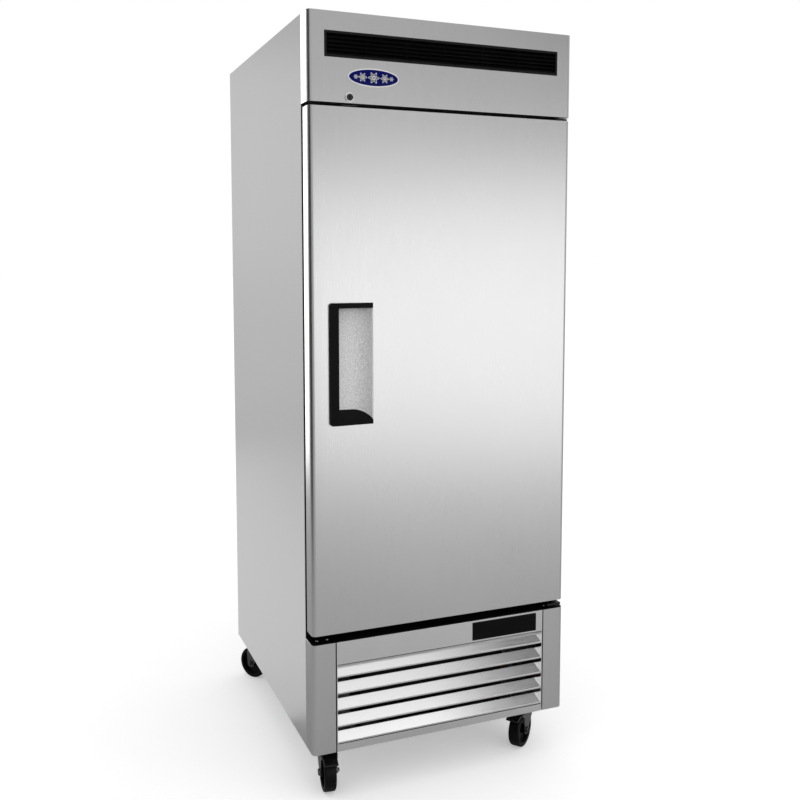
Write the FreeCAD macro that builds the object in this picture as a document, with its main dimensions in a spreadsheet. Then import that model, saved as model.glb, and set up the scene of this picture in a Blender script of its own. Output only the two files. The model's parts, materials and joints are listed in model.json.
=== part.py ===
"""One-section reach-in refrigerator: foamed stainless cabinet, one hinged door, casters, bottom-mounted unit.

Row frame: millimetres, +Z up from the floor, +X to the right seen from the front, the door faces -Y,
and the origin is on the floor under the middle of the whole object.
"""

import FreeCAD, Part
import Sketcher
import math
import os
import re

from FreeCAD import Placement, Rotation, Vector

# ---------------------------------------------------------------- driving dimensions, in the spreadsheet
SIZES = {
    # cabinet
    "wide": 730.0, "deep": 860.0, "tall": 1980.0, "lift": 130.0, "skin": 1.2, "corner": 12.0,
    "apron": 58.0, "flange": 20.0, "wall": 55.0, "slab": 61.0, "lintel": 50.0, "liner": 1.0,
    "breaker": 4.0, "breaker_deep": 30.0,
    # front, from the bottom up
    "base_tall": 289.0, "gap_low": 23.0, "gap_high": 9.0, "head_tall": 215.0,
    "post_wide": 62.0, "post_gap": 3.0, "sill_thick": 2.0,
    # header grille, badge and lock
    "grille_wide": 645.0, "grille_tall": 62.0, "grille_up": 107.0, "grille_deep": 12.0, "grille_rim": 6.0,
    "slats": 5.0, "slat_pitch": 9.6,
    "badge_x": -197.0, "badge_up": 64.0, "badge_wide": 134.0, "badge_tall": 45.0, "badge_thick": 2.0,
    "lock_x": -259.0, "lock_up": 14.0, "lock_rim": 12.0, "barrel": 9.5, "plug": 8.0, "barrel_long": 26.0,
    "cam_long": 30.0, "cam_wide": 12.0, "cam_thick": 3.0,
    # louver panel and controller
    "strip_up": 230.0, "sill_up": 19.0, "panel_deep": 30.0, "blade_pitch": 43.5, "blades": 5.0,
    "blade_drop": 26.0, "blade_deep": 16.0, "blade_low": 21.0,
    "ctrl_x": 84.0, "ctrl_wide": 195.0, "ctrl_up": 235.0, "ctrl_tall": 49.0,
    # door
    "door_thick": 46.0, "door_side": 1.0, "seal": 10.5, "seal_wide": 20.0, "seal_x": 342.0, "seal_z": 10.0,
    "plug_x": 305.0, "plug_z": 48.0, "plug_deep": 10.0,
    "pivot_x": 346.0, "pivot_in": 24.0, "pin_top": 5.0, "pin_low": 6.0, "running": 0.06,
    # recessed pull handle
    "pull_x": -315.0, "pull_wide": 115.0, "pull_up": 845.0, "pull_tall": 305.0, "pull_rim": 13.0,
    "lip": 8.0, "lip_wide": 23.0, "lip_tip": 2.5, "scoop": 33.0, "scoop_run": 44.0, "cup": 1.5,
    "sill_rise": 22.0,
    # casters
    "caster_x": 302.0, "caster_in_front": 95.0, "caster_in_back": 82.0, "wheel": 50.0, "wheel_wide": 32.0,
    "trail": 35.0, "axle": 5.0, "plate_x": 94.0, "plate_y": 76.0, "bolt_x": 75.0, "bolt_y": 45.0, "bolt": 4.0,
    # inside
    "shelf_x": 296.0, "shelf_front": -280.0, "shelf_back": 340.0, "shelf_first": 800.0, "shelf_step": 310.0,
    "frame_wire": 3.5, "deck_wire": 1.8, "deck_wires": 23.0,
    "rail_front": -220.0, "rail_back": 290.0, "rail_wide": 18.0, "rail_deep": 6.0, "rail_low": 540.0,
    "rail_pitch": 25.0, "rail_slots": 44.0,
    # refrigeration
    "coil_x": 210.0, "coil_up": 20.0, "coil_tall": 220.0, "fan": 108.0, "duct": 114.0, "line": 6.35,
    "coil_in": 18.0, "coil_deep": 50.0, "coil_tube": 4.8,
    "evap_x": 250.0, "evap_front": -180.0, "evap_back": 300.0, "evap_low": 1760.0, "evap_fan": 64.0,
    "evap_coil_x": 222.0, "evap_coil_front": 62.0, "evap_coil_back": 178.0, "evap_clear": 12.0,
    "comp_x": 90.0, "comp_y": 80.0, "comp_r": 85.0, "comp_low": 158.0, "comp_high": 350.0,
    "tray_left": -330.0, "tray_right": -60.0, "tray_front": 60.0, "tray_back": 290.0, "tray_tall": 44.0,
    "tray_wall": 2.0,
    "line_x": 238.0, "line_y": 405.0, "line_high": 1850.0, "line_room": 0.4,
    "gland_x": 310.0, "gland_up": 75.0, "gland_neck": 8.0, "cord_bore": 4.2,
    "lamp_x": 150.0, "lamp_deep": 26.0, "lamp_low": 1722.0, "lamp_high": 1740.0, "lamp_round": 5.0,
}
FUNCTIONS = {"sqrt", "sin", "cos", "tan"}

# places that many sub-parts share, as expressions of the driving dimensions
LEFT, RIGHT = "-wide/2", "wide/2"
FRONT, BACK = "(lip-deep)/2", "(lip+deep)/2"
FACE = f"{FRONT}+apron"
BASE_TOP = "lift+base_tall"
DOOR_LOW = f"{BASE_TOP}+gap_low"
HEAD_LOW = "tall-head_tall"
DOOR_HIGH = f"{HEAD_LOW}-gap_high"
DOOR_BACK = f"{FRONT}+door_thick"
ROOM_LOW, ROOM_HIGH = f"{BASE_TOP}+slab", "tall-wall"
OPEN_HIGH = f"{HEAD_LOW}-lintel"
LOCK_Z = f"{HEAD_LOW}+lock_up"
FAN_Z = "lift+coil_up+coil_tall/2"

doc = FreeCAD.newDocument("ReachInRefrigerator")
sizes = doc.addObject("Spreadsheet::Sheet", "sizes")
for row, (alias, value) in enumerate(SIZES.items(), 1):
    sizes.set(f"A{row}", alias)
    sizes.set(f"B{row}", str(value))
    sizes.setAlias(f"B{row}", alias)
doc.recompute()

kept = []


# ---------------------------------------------------------------- how the sub-parts are drawn
def expr(text):
    """An expression over the spreadsheet's aliases, as FreeCAD writes it."""
    def named(match):
        word = match.group(0)
        return word if word in FUNCTIONS else f"sizes.{word}"
    return re.sub(r"[A-Za-z_]\w*", named, str(text))


def number(text):
    """The value that an expression has now."""
    return float(sizes.evalExpression(expr(text)))


def bind(thing, **properties):
    for name, text in properties.items():
        thing.setExpression(name, expr(text))


def place(thing, x="0", y="0", z="0", turn=None, axis=(0, 0, 1)):
    """Puts a sub-part at a bound place, turned by a bound number of degrees about an axis."""
    if turn is not None:
        thing.Placement = Placement(Vector(), Rotation(Vector(*axis), number(turn)))
    for key, text in (("x", x), ("y", y), ("z", z)):
        thing.setExpression(f"Placement.Base.{key}", expr(text))


def keep(thing, label):
    """Marks a finished sub-part: its label names the node."""
    thing.Label = label
    kept.append(thing)
    return thing


def box(name, x, y, z):
    made = doc.addObject("Part::Box", name)
    for prop, (low, high) in (("Length", x), ("Width", y), ("Height", z)):
        made.setExpression(prop, expr(f"({high})-({low})"))
    place(made, x[0], y[0], z[0])
    return made


def rod(name, axis, at, radius, span):
    """A cylinder along X, Y or Z. at holds its other two coordinates, in X, Y, Z order."""
    made = doc.addObject("Part::Cylinder", name)
    low, high = span
    bind(made, Radius=radius, Height=f"({high})-({low})")
    if axis == "X":
        place(made, low, at[0], at[1], turn="90", axis=(0, 1, 0))
    elif axis == "Y":
        place(made, at[0], low, at[1], turn="-90", axis=(1, 0, 0))
    else:
        place(made, at[0], at[1], low)
    return made


def cut(name, base, *tools):
    made = doc.addObject("Part::Cut", name)
    made.Base = base
    made.Tool = tools[0] if len(tools) == 1 else fuse(name + "_tools", *tools)
    return made


def fuse(name, *shapes):
    made = doc.addObject("Part::MultiFuse", name)
    made.Shapes = list(shapes)
    return made


def compound(name, *shapes):
    made = doc.addObject("Part::Compound", name)
    made.Links = list(shapes)
    return made


def copies(name, source, places):
    """Separate solids of one shape, at several placements, as one node."""
    doc.recompute()
    made = doc.addObject("Part::Feature", name)
    solids = []
    for spot in places:
        solid = source.Shape.copy()
        solid.Placement = spot.multiply(solid.Placement)
        solids.append(solid)
    made.Shape = Part.makeCompound(solids) if len(solids) > 1 else solids[0]
    return made


def body(name):
    return doc.addObject("PartDesign::Body", name)


def origin_feature(owner, role):
    return [f for f in owner.Origin.OriginFeatures if f.Role == role][0]


def sketch(owner, plane, offset, loops=(), circles=()):
    """A fully constrained sketch. A loop's point is (x, y), or (x, y, centre x, centre y, turn) where an arc
    ends, turning counter-clockwise (1) or clockwise (-1) about that centre. A circle is (x, y, radius)."""
    made = owner.newObject("Sketcher::SketchObject", owner.Name + "_sketch")
    made.AttachmentSupport = [(origin_feature(owner, plane + "_Plane"), "")]
    made.MapMode = "FlatFace"
    made.setExpression("AttachmentOffset.Base.z", expr(offset))

    def pin(geometry, point, x, y=None):
        for kind, text in (("DistanceX", x), ("DistanceY", y)):
            if text is not None:
                made.addConstraint(Sketcher.Constraint(kind, -1, 1, geometry, point, number(text)))
                made.setExpression(f"Constraints[{made.ConstraintCount - 1}]", expr(text))

    for loop in loops:
        first = made.GeometryCount
        for i, end in enumerate(loop):
            start = loop[i - 1]
            a = Vector(number(start[0]), number(start[1]), 0)
            b = Vector(number(end[0]), number(end[1]), 0)
            if len(end) == 2:
                made.addGeometry(Part.LineSegment(a, b))
                continue
            centre = Vector(number(end[2]), number(end[3]), 0)
            turn = end[4]
            low, high = (a, b) if turn > 0 else (b, a)
            circle = Part.Circle(centre, Vector(0, 0, 1), (a - centre).Length)
            made.addGeometry(Part.ArcOfCircle(circle, circle.parameter(low), circle.parameter(high)))
        count = len(loop)
        for i, end in enumerate(loop):
            here, after = first + i, first + (i + 1) % count
            end_point = 1 if len(end) == 5 and end[4] < 0 else 2
            next_end = loop[(i + 1) % count]
            start_point = 2 if len(next_end) == 5 and next_end[4] < 0 else 1
            made.addConstraint(Sketcher.Constraint("Coincident", here, end_point, after, start_point))
            pin(here, end_point, end[0], end[1])
            if len(end) == 5:
                across = number(end[0]) != number(loop[i - 1][0])
                pin(here, 3, end[2] if across else None, None if across else end[3])
    for x, y, radius in circles:
        spot = made.addGeometry(Part.Circle(Vector(number(x), number(y), 0), Vector(0, 0, 1), number(radius)))
        made.addConstraint(Sketcher.Constraint("Radius", spot, number(radius)))
        made.setExpression(f"Constraints[{made.ConstraintCount - 1}]", expr(radius))
        pin(spot, 3, x, y)
    return made


def pad(owner, plane, low, high, loops=(), circles=()):
    """Adds the profile's solid from low to high along the axis that the plane leaves out."""
    offset = f"-({high})" if plane == "XZ" else low
    made = owner.newObject("PartDesign::Pad", owner.Name + "_pad")
    made.Profile = sketch(owner, plane, offset, loops, circles)
    bind(made, Length=f"({high})-({low})")
    doc.recompute()
    return made


def pocket(owner, plane, low, high, loops=(), circles=()):
    """Cuts the profile away from low to high, and stops if it meets no material."""
    before = owner.Shape.Volume
    offset = f"-({low})" if plane == "XZ" else high
    made = owner.newObject("PartDesign::Pocket", owner.Name + "_pocket")
    made.Profile = sketch(owner, plane, offset, loops, circles)
    bind(made, Length=f"({high})-({low})")
    doc.recompute()
    if owner.Shape.Volume >= before:
        raise RuntimeError(f"{made.Name} cuts nothing")
    return made


def edges_where(shape, test):
    return [f"Edge{i}" for i, edge in enumerate(shape.Edges, 1) if test(edge)]


def upright_at(*places):
    """Picks the vertical edges that stand at one of these (x, y) places."""
    spots = [(number(x), number(y)) for x, y in places]

    def test(edge):
        ends = [v.Point for v in edge.Vertexes]
        return len(ends) == 2 and abs(ends[0].z - ends[1].z) > 1 and any(
            all(math.hypot(p.x - x, p.y - y) < 0.01 for p in ends) for x, y in spots)
    return test


def fillet(owner, radius, test):
    base = owner.Tip
    names = edges_where(base.Shape, test)
    if not names:
        raise RuntimeError(f"{owner.Name} has no edge to round there")
    made = owner.newObject("PartDesign::Fillet", owner.Name + "_fillet")
    made.Base = (base, names)
    bind(made, Radius=radius)
    doc.recompute()
    return made


def shell(owner, wall, opened):
    """Hollows the body to a sheet of that wall, open at the faces that the test picks."""
    base = owner.Tip
    names = [f"Face{i}" for i, face in enumerate(base.Shape.Faces, 1) if opened(face)]
    made = owner.newObject("PartDesign::Thickness", owner.Name + "_shell")
    made.Base = (base, names)
    made.Reversed = True
    made.Join = 0
    bind(made, Value=wall)
    doc.recompute()
    return made


def facing(x, y, z):
    """Picks the flat faces whose outward normal is this."""
    def test(face):
        return face.Surface.TypeId == "Part::GeomPlane" and (
            face.normalAt(0, 0) - Vector(x, y, z)).Length < 1e-6
    return test


def row(owner, feature, axis, length, count):
    """Repeats the last pad or pocket in a row along one of the body's own axes."""
    made = owner.newObject("PartDesign::LinearPattern", owner.Name + "_row")
    made.Originals = [feature]
    made.Direction = (origin_feature(owner, axis + "_Axis"), [""])
    bind(made, Length=length, Occurrences=count)
    owner.Tip = made
    doc.recompute()
    return made


def oblong(x, y):
    """The four corners of a rectangle, from its two ranges."""
    return [(x[0], y[0]), (x[1], y[0]), (x[1], y[1]), (x[0], y[1])]


def mirrored(points):
    return [(f"-({x})", y) for x, y in reversed(points)]


# ---------------------------------------------------------------- cabinet shell
side = [(LEFT, FACE), (f"{LEFT}+flange", FACE), (f"{LEFT}+flange", f"{FACE}+skin"),
        (f"{LEFT}+skin", f"{FACE}+skin"), (f"{LEFT}+skin", BACK), (LEFT, BACK)]
for name, profile in (("side_panel_left", side), ("side_panel_right", mirrored(side))):
    panel = body(name)
    pad(panel, "XY", "lift", "tall", [profile])
    keep(panel, name)

INSIDE_X = (f"{LEFT}+skin", f"{RIGHT}-skin")
keep(box("top", INSIDE_X, (f"{FACE}+skin", f"{BACK}-skin"), ("tall-skin", "tall")), "top_panel")
deck_sheet = box("deck_sheet", INSIDE_X, (f"{FACE}+skin", f"{BACK}-skin"), (f"{BASE_TOP}-skin", BASE_TOP))
LINE_AT, LINE_HOLE = ("line_x", "line_y"), "line+line_room"
deck_hole = rod("deck_hole", "Z", LINE_AT, LINE_HOLE, (f"{BASE_TOP}-5", f"{BASE_TOP}+5"))
keep(cut("deck", deck_sheet, deck_hole), "machine_deck")
keep(box("rear", INSIDE_X, (f"{BACK}-skin", BACK), (BASE_TOP, "tall")), "rear_panel")

ROOM_X = (f"{LEFT}+wall", f"{RIGHT}-wall")
ROOM_Y = (f"{FACE}+wall", f"{BACK}-wall")
foam_block = box("foam_block", INSIDE_X, (f"{FACE}+skin", f"{BACK}-skin"), (BASE_TOP, "tall-skin"))
foam_room = box("foam_room", ROOM_X, ROOM_Y, (ROOM_LOW, ROOM_HIGH))
foam_mouth = box("foam_mouth", ROOM_X, (FACE, f"{FACE}+wall+1"), (ROOM_LOW, OPEN_HIGH))
foam_riser = rod("foam_riser", "Z", LINE_AT, LINE_HOLE, (f"{BASE_TOP}-5", "line_high+7"))
foam_elbow = box("foam_elbow", ("line_x-8", "line_x+8"), (f"{BACK}-wall-5", "line_y+8"),
                 ("line_high-22", "line_high+8"))
keep(cut("foam", foam_block, foam_room, foam_mouth, foam_riser, foam_elbow), "cabinet_foam")

room_out = box("room_out", ROOM_X, ROOM_Y, (ROOM_LOW, ROOM_HIGH))
mouth_out = box("mouth_out", ROOM_X, (FACE, f"{FACE}+wall+1"), (ROOM_LOW, OPEN_HIGH))
LINER_X = (f"{LEFT}+wall+liner", f"{RIGHT}-wall-liner")
LINER_Z = (f"{ROOM_LOW}+liner", f"{ROOM_HIGH}-liner")
MOUTH_HIGH = f"{OPEN_HIGH}-liner"
room_in = box("room_in", LINER_X, (f"{FACE}+wall+liner", f"{BACK}-wall-liner"), LINER_Z)
mouth_in = box("mouth_in", LINER_X, (f"{FACE}-1", f"{FACE}+wall+liner+1"), (LINER_Z[0], MOUTH_HIGH))
line_hole = rod("line_hole", "Y", ("line_x", "line_high"), LINE_HOLE, (f"{BACK}-wall-5", f"{BACK}-wall+5"))
keep(cut("liner_shell", fuse("liner_out", room_out, mouth_out), room_in, mouth_in, line_hole), "inner_liner")

frame = body("face_frame")
pad(frame, "XZ", f"{FACE}-skin", FACE, [oblong(INSIDE_X, (BASE_TOP, "tall"))])
pocket(frame, "XZ", f"{FACE}-skin", FACE, [oblong(LINER_X, (LINER_Z[0], MOUTH_HIGH))])
keep(frame, "face_frame")

breaker_strip = body("breaker_frame")
pad(breaker_strip, "XZ", f"{FACE}-skin", f"{FACE}+breaker_deep", [oblong(LINER_X, (LINER_Z[0], MOUTH_HIGH))])
pocket(breaker_strip, "XZ", f"{FACE}-skin", f"{FACE}+breaker_deep", [oblong(
    (f"{LINER_X[0]}+breaker", f"{LINER_X[1]}-breaker"), (f"{LINER_Z[0]}+breaker", f"{MOUTH_HIGH}-breaker"))])
keep(breaker_strip, "breaker_frame")

# ---------------------------------------------------------------- header: panel, grille, badge and lock
GRILLE_X = ("-grille_wide/2", "grille_wide/2")
GRILLE_Z = (f"{HEAD_LOW}+grille_up", f"{HEAD_LOW}+grille_up+grille_tall")
LOCK_IN = f"{FRONT}+barrel_long+2"
header = body("header_panel")
pad(header, "XY", HEAD_LOW, "tall", [oblong((LEFT, RIGHT), (FRONT, f"{FACE}-skin"))])
fillet(header, "corner", upright_at((LEFT, FRONT), (RIGHT, FRONT)))
shell(header, "skin", facing(0, 1, 0))
pocket(header, "XZ", f"{FRONT}-1", f"{FRONT}+5", [oblong(GRILLE_X, GRILLE_Z)],
       [("lock_x", LOCK_Z, "barrel+0.1")])
pocket(header, "XY", f"{HEAD_LOW}-1", f"{HEAD_LOW}+5", [
    oblong(("lock_x-9", "lock_x+cam_long+3"), (f"{LOCK_IN}-2", f"{LOCK_IN}+cam_thick+2")),
    oblong(("pivot_x-22", f"{RIGHT}-skin-1"), (f"{FACE}-skin-4", f"{FACE}-skin+1"))])
keep(header, "header_panel")

SLAT_LOW = f"{GRILLE_Z[0]}+grille_rim+1.4"
grille = body("header_grille")
pad(grille, "XZ", f"{FRONT}-1", f"{FRONT}+grille_deep", [oblong(
    (f"{GRILLE_X[0]}+0.2", f"{GRILLE_X[1]}-0.2"), (f"{GRILLE_Z[0]}+0.2", f"{GRILLE_Z[1]}-0.2"))])
pocket(grille, "XZ", f"{FRONT}-2", f"{FRONT}+grille_deep", [oblong(
    (f"{GRILLE_X[0]}+grille_rim", f"{GRILLE_X[1]}-grille_rim"),
    (f"{GRILLE_Z[0]}+grille_rim", f"{GRILLE_Z[1]}-grille_rim"))])
slat = pad(grille, "YZ", f"{GRILLE_X[0]}+grille_rim-1", f"{GRILLE_X[1]}-grille_rim+1", [[
    (f"{FRONT}+1", SLAT_LOW), (f"{FRONT}+2.6", f"{SLAT_LOW}-0.6"),
    (f"{FRONT}+grille_deep-1", f"{SLAT_LOW}+7.4"), (f"{FRONT}+grille_deep-2.6", f"{SLAT_LOW}+8")]])
row(grille, slat, "Z", "slat_pitch*(slats-1)", "slats")
keep(grille, "header_grille")

oval = doc.addObject("Part::Ellipse", "badge_oval")
bind(oval, MajorRadius="badge_wide/2", MinorRadius="badge_tall/2")
place(oval, "badge_x", FRONT, f"{HEAD_LOW}+badge_up", turn="90", axis=(1, 0, 0))
badge = doc.addObject("Part::Extrusion", "badge")
badge.Base = oval
badge.DirMode = "Custom"
badge.Dir = Vector(0, -1, 0)
badge.Solid = True
bind(badge, LengthFwd="badge_thick")
keep(badge, "badge_plate")

LOCK_AT = ("lock_x", LOCK_Z)
lock_rim = rod("lock_rim_disc", "Y", LOCK_AT, "lock_rim", (f"{FRONT}-3", FRONT))
lock_barrel = rod("lock_barrel", "Y", LOCK_AT, "barrel", (FRONT, f"{FRONT}+barrel_long"))
lock_nut = doc.addObject("Part::Prism", "lock_nut")
lock_nut.Polygon = 6
bind(lock_nut, Circumradius="barrel+4", Height="5")
place(lock_nut, "lock_x", f"{FRONT}+skin+0.05", LOCK_Z, turn="-90", axis=(1, 0, 0))
lock_bore = rod("lock_bore", "Y", LOCK_AT, "plug+running", (f"{FRONT}-4", f"{FRONT}+barrel_long+1"))
keep(cut("lock_case", fuse("lock_whole", lock_rim, lock_barrel, lock_nut), lock_bore), "lock_body")

plug_core = rod("plug_core", "Y", LOCK_AT, "plug", (f"{FRONT}-2", LOCK_IN))
keyway = box("keyway", ("lock_x-1", "lock_x+1"), (f"{FRONT}-3", f"{FRONT}+14"), (f"{LOCK_Z}-4", f"{LOCK_Z}+4"))
lock_cam = box("lock_cam", ("lock_x-cam_wide/2", "lock_x+cam_long"), (LOCK_IN, f"{LOCK_IN}+cam_thick"),
               (f"{LOCK_Z}-cam_wide/2", f"{LOCK_Z}+cam_wide/2"))
keep(compound("lock_turning", cut("plug_cut", plug_core, keyway), lock_cam), "lock_plug")

# ---------------------------------------------------------------- base: pan, posts, louver panel and controller
pan = body("base_pan")
PAN_Y = (f"{FACE}+skin", f"{BACK}-skin")
pad(pan, "XY", "lift", "lift+25", [oblong(INSIDE_X, PAN_Y)])
pocket(pan, "XY", "lift+2", "lift+26", [oblong(
    (f"{INSIDE_X[0]}+2", f"{INSIDE_X[1]}-2"), (f"{PAN_Y[0]}+2", f"{PAN_Y[1]}-2"))])
CASTER_Y = {"front": f"{FRONT}+caster_in_front", "rear": f"{BACK}-caster_in_back"}
# each caster's side of the cabinet, its place along Y, and the way it trails, in degrees from +X
CASTERS = {"front_left": (-1, CASTER_Y["front"], 262), "front_right": (1, CASTER_Y["front"], 218),
           "rear_left": (-1, CASTER_Y["rear"], 125), "rear_right": (1, CASTER_Y["rear"], 205)}
BOLTS = [(f"{sx}*caster_x+{bx}*bolt_x/2", f"{y}+{by}*bolt_y/2")
         for sx, y, _ in CASTERS.values() for bx in (-1, 1) for by in (-1, 1)]
pocket(pan, "XY", "lift-1", "lift+3", circles=[(x, y, "bolt+0.5") for x, y in BOLTS])
keep(pan, "base_pan")

for name, sign in (("base_post_left", -1), ("base_post_right", 1)):
    post = body(name)
    outer, inner = f"{sign}*wide/2", f"{sign}*(wide/2-post_wide)"
    pad(post, "XY", "lift", BASE_TOP, [oblong((outer, inner), (FRONT, FACE))])
    fillet(post, "corner", upright_at((outer, FRONT)))
    shell(post, "skin", facing(0, 1, 0))
    keep(post, name)

SILL_X, SILL_FRONT = (f"{LEFT}+1", f"{RIGHT}-1"), f"{FRONT}+1"
SILL_R = "corner-1"
base_sill = body("base_sill_plate")
pad(base_sill, "XY", BASE_TOP, f"{BASE_TOP}+sill_thick", [[
    (SILL_X[1], f"{FACE}-skin"), (SILL_X[0], f"{FACE}-skin"), (SILL_X[0], f"{SILL_FRONT}+{SILL_R}"),
    (f"{SILL_X[0]}+{SILL_R}", SILL_FRONT, f"{SILL_X[0]}+{SILL_R}", f"{SILL_FRONT}+{SILL_R}", 1),
    (f"{SILL_X[1]}-({SILL_R})", SILL_FRONT),
    (SILL_X[1], f"{SILL_FRONT}+{SILL_R}", f"{SILL_X[1]}-({SILL_R})", f"{SILL_FRONT}+{SILL_R}", 1)]])
keep(base_sill, "base_sill")

PANEL_X = (f"{LEFT}+post_wide+post_gap", f"{RIGHT}-post_wide-post_gap")
STRIP_Z, SILL_Z = "lift+strip_up", "lift+sill_up"
PANEL_BACK = f"{FRONT}+panel_deep"
louver = body("louver_panel")
pad(louver, "XZ", FRONT, PANEL_BACK, [oblong(PANEL_X, ("lift", BASE_TOP))])
pocket(louver, "XZ", f"{FRONT}-1", PANEL_BACK, [oblong(
    (f"{PANEL_X[0]}+2", f"{PANEL_X[1]}-2"), (SILL_Z, STRIP_Z))])
pocket(louver, "XZ", f"{FRONT}+skin", PANEL_BACK, [
    oblong((f"{PANEL_X[0]}+2", f"{PANEL_X[1]}-2"), (f"{STRIP_Z}+skin", f"{BASE_TOP}-skin")),
    oblong((f"{PANEL_X[0]}+2", f"{PANEL_X[1]}-2"), ("lift+skin", f"{SILL_Z}-skin"))])
CTRL_X, CTRL_Z = ("ctrl_x", "ctrl_x+ctrl_wide"), ("lift+ctrl_up", "lift+ctrl_up+ctrl_tall")
pocket(louver, "XZ", f"{FRONT}-1", f"{FRONT}+5", [oblong(
    (f"{CTRL_X[0]}+4", f"{CTRL_X[1]}-4"), (f"{CTRL_Z[0]}+3", f"{CTRL_Z[1]}-3"))])
BLADE_Z = "lift+blade_low"
blade = pad(louver, "YZ", f"{PANEL_X[0]}+1", f"{PANEL_X[1]}-1", [[
    (f"{FRONT}+1", BLADE_Z), (f"{FRONT}+2.2", BLADE_Z), (f"{FRONT}+2.2", f"{BLADE_Z}+3.6"),
    (f"{FRONT}+blade_deep+1.7", f"{BLADE_Z}+blade_drop-1"), (f"{FRONT}+blade_deep+1", f"{BLADE_Z}+blade_drop"),
    (f"{FRONT}+1", f"{BLADE_Z}+4.2")]])
row(louver, blade, "Z", "blade_pitch*(blades-1)", "blades")
keep(louver, "louver_panel")

ctrl_face = box("ctrl_face", CTRL_X, (f"{FRONT}-2", FRONT), CTRL_Z)
ctrl_body = box("ctrl_body", (f"{CTRL_X[0]}+6", f"{CTRL_X[1]}-6"), (FRONT, f"{FRONT}+45"),
                (f"{CTRL_Z[0]}+5", f"{CTRL_Z[1]}-5"))
keep(fuse("controller", ctrl_face, ctrl_body), "controller_case")

rear_cover = body("rear_grille")
pad(rear_cover, "XZ", f"{BACK}-skin", BACK, [oblong(INSIDE_X, ("lift+2", BASE_TOP))])
slot = pocket(rear_cover, "XZ", f"{BACK}-2*skin", BACK, [oblong(
    (f"{INSIDE_X[0]}+70", f"{INSIDE_X[0]}+78"), ("lift+60", f"{BASE_TOP}-50"))])
row(rear_cover, slot, "X", "420", "15")
GLAND_AT = ("gland_x", "lift+gland_up")
pocket(rear_cover, "XZ", f"{BACK}-2*skin", BACK, circles=[(*GLAND_AT, "gland_neck+0.1")])
keep(rear_cover, "rear_grille")

# ---------------------------------------------------------------- condensing unit in the base
COIL_Z = ("lift+coil_up", "lift+coil_up+coil_tall")
COIL_FRONT = f"{FACE}+coil_in"
COIL_BACK = f"{COIL_FRONT}+coil_deep"
fins = box("condenser_fins", ("-coil_x+4", "coil_x-4"), (f"{COIL_FRONT}+2", f"{COIL_BACK}-2"), COIL_Z)
ends = [box(f"coil_end_{n}", (f"{s}*coil_x-1", f"{s}*coil_x+1"), (COIL_FRONT, COIL_BACK), ("lift+2", COIL_Z[1]))
        for n, s in (("left", -1), ("right", 1))]
PASSES, TUBE_ROWS = 6, 2
tubes = [rod(f"coil_pass_{i}_{j}", "X", (f"{COIL_FRONT}+{12 + 26 * j}", f"{COIL_Z[0]}+{20 + 36 * i}"),
             "coil_tube", ("-coil_x-8", "coil_x+8")) for i in range(PASSES) for j in range(TUBE_ROWS)]
keep(fuse("condenser", fins, *ends, *tubes), "condenser_coil")

SHROUD_Y = (COIL_BACK, f"{COIL_BACK}+38")
shroud = body("condenser_shroud")
pad(shroud, "XZ", *SHROUD_Y, [oblong(("-coil_x", "coil_x"), COIL_Z)])
pocket(shroud, "XZ", SHROUD_Y[0], f"{SHROUD_Y[1]}-2", [oblong(
    ("-coil_x+1.5", "coil_x-1.5"), (f"{COIL_Z[0]}+1.5", f"{COIL_Z[1]}-1.5"))])
pad(shroud, "XZ", f"{SHROUD_Y[1]}-2", f"{SHROUD_Y[1]}+22", circles=[("0", FAN_Z, "duct+2")])
pocket(shroud, "XZ", f"{SHROUD_Y[0]}", f"{SHROUD_Y[1]}+23", circles=[("0", FAN_Z, "duct")])
keep(shroud, "condenser_shroud")


def fan_blade(label, centre_z, radius, hub, front, thick, pitch):
    """An axial fan: hub and shaft along Y, five plate blades set at a pitch and trimmed to the tip circle."""
    at = ("0", centre_z)
    parts = [rod(label + "_hub", "Y", at, hub, (front, f"{front}+{thick}")),
             rod(label + "_shaft", "Y", at, "4", (f"{front}+{thick}", f"{front}+{thick}+24"))]
    count = 5
    for i in range(count):
        plate = doc.addObject("Part::Box", f"{label}_{i}")
        bind(plate, Length=f"{radius}+4", Width="1.6", Height=f"{radius}*0.5")
        about = Rotation(Vector(0, 1, 0), 360.0 / count * i)
        tilt = Rotation(Vector(1, 0, 0), pitch)
        middle = Placement(Vector(0, 0, 0), about.multiply(tilt))
        corner = middle.multVec(Vector(0, -0.8, -number(radius) * 0.25))
        plate.Placement = Placement(corner, about.multiply(tilt))
        place(plate, str(corner.x), f"{front}+{thick}/2+({corner.y})", f"{centre_z}+({corner.z})")
        parts.append(plate)
    whole = fuse(label + "_whole", *parts)
    tip = rod(label + "_tip", "Y", at, radius, (f"{front}-60", f"{front}+{thick}+60"))
    trimmed = doc.addObject("Part::Common", label)
    trimmed.Tool = tip
    trimmed.Base = whole
    return keep(trimmed, label)


def fan_motor(label, centre_z, radius, front, arm, reach):
    """A small round motor on a cross bar whose two arms reach forward to the duct."""
    at = ("0", centre_z)
    can = rod(label + "_can", "Y", at, radius, (front, f"{front}+50"))
    bar = box(label + "_bar", (f"-({arm})-5", f"{arm}+5"), (f"{front}+2", f"{front}+5"),
              (f"{centre_z}-9", f"{centre_z}+9"))
    arms = [box(f"{label}_arm_{n}", (x, f"{x}+3"), (f"{front}-({reach})", f"{front}+3"),
                (f"{centre_z}-9", f"{centre_z}+9"))
            for n, x in (("left", f"-({arm})-5"), ("right", f"{arm}+2"))]
    bore = rod(label + "_bore", "Y", at, "4+running", (f"{front}-1", f"{front}+26"))
    return keep(cut(label, fuse(label + "_solid", can, bar, *arms), bore), label)


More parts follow.
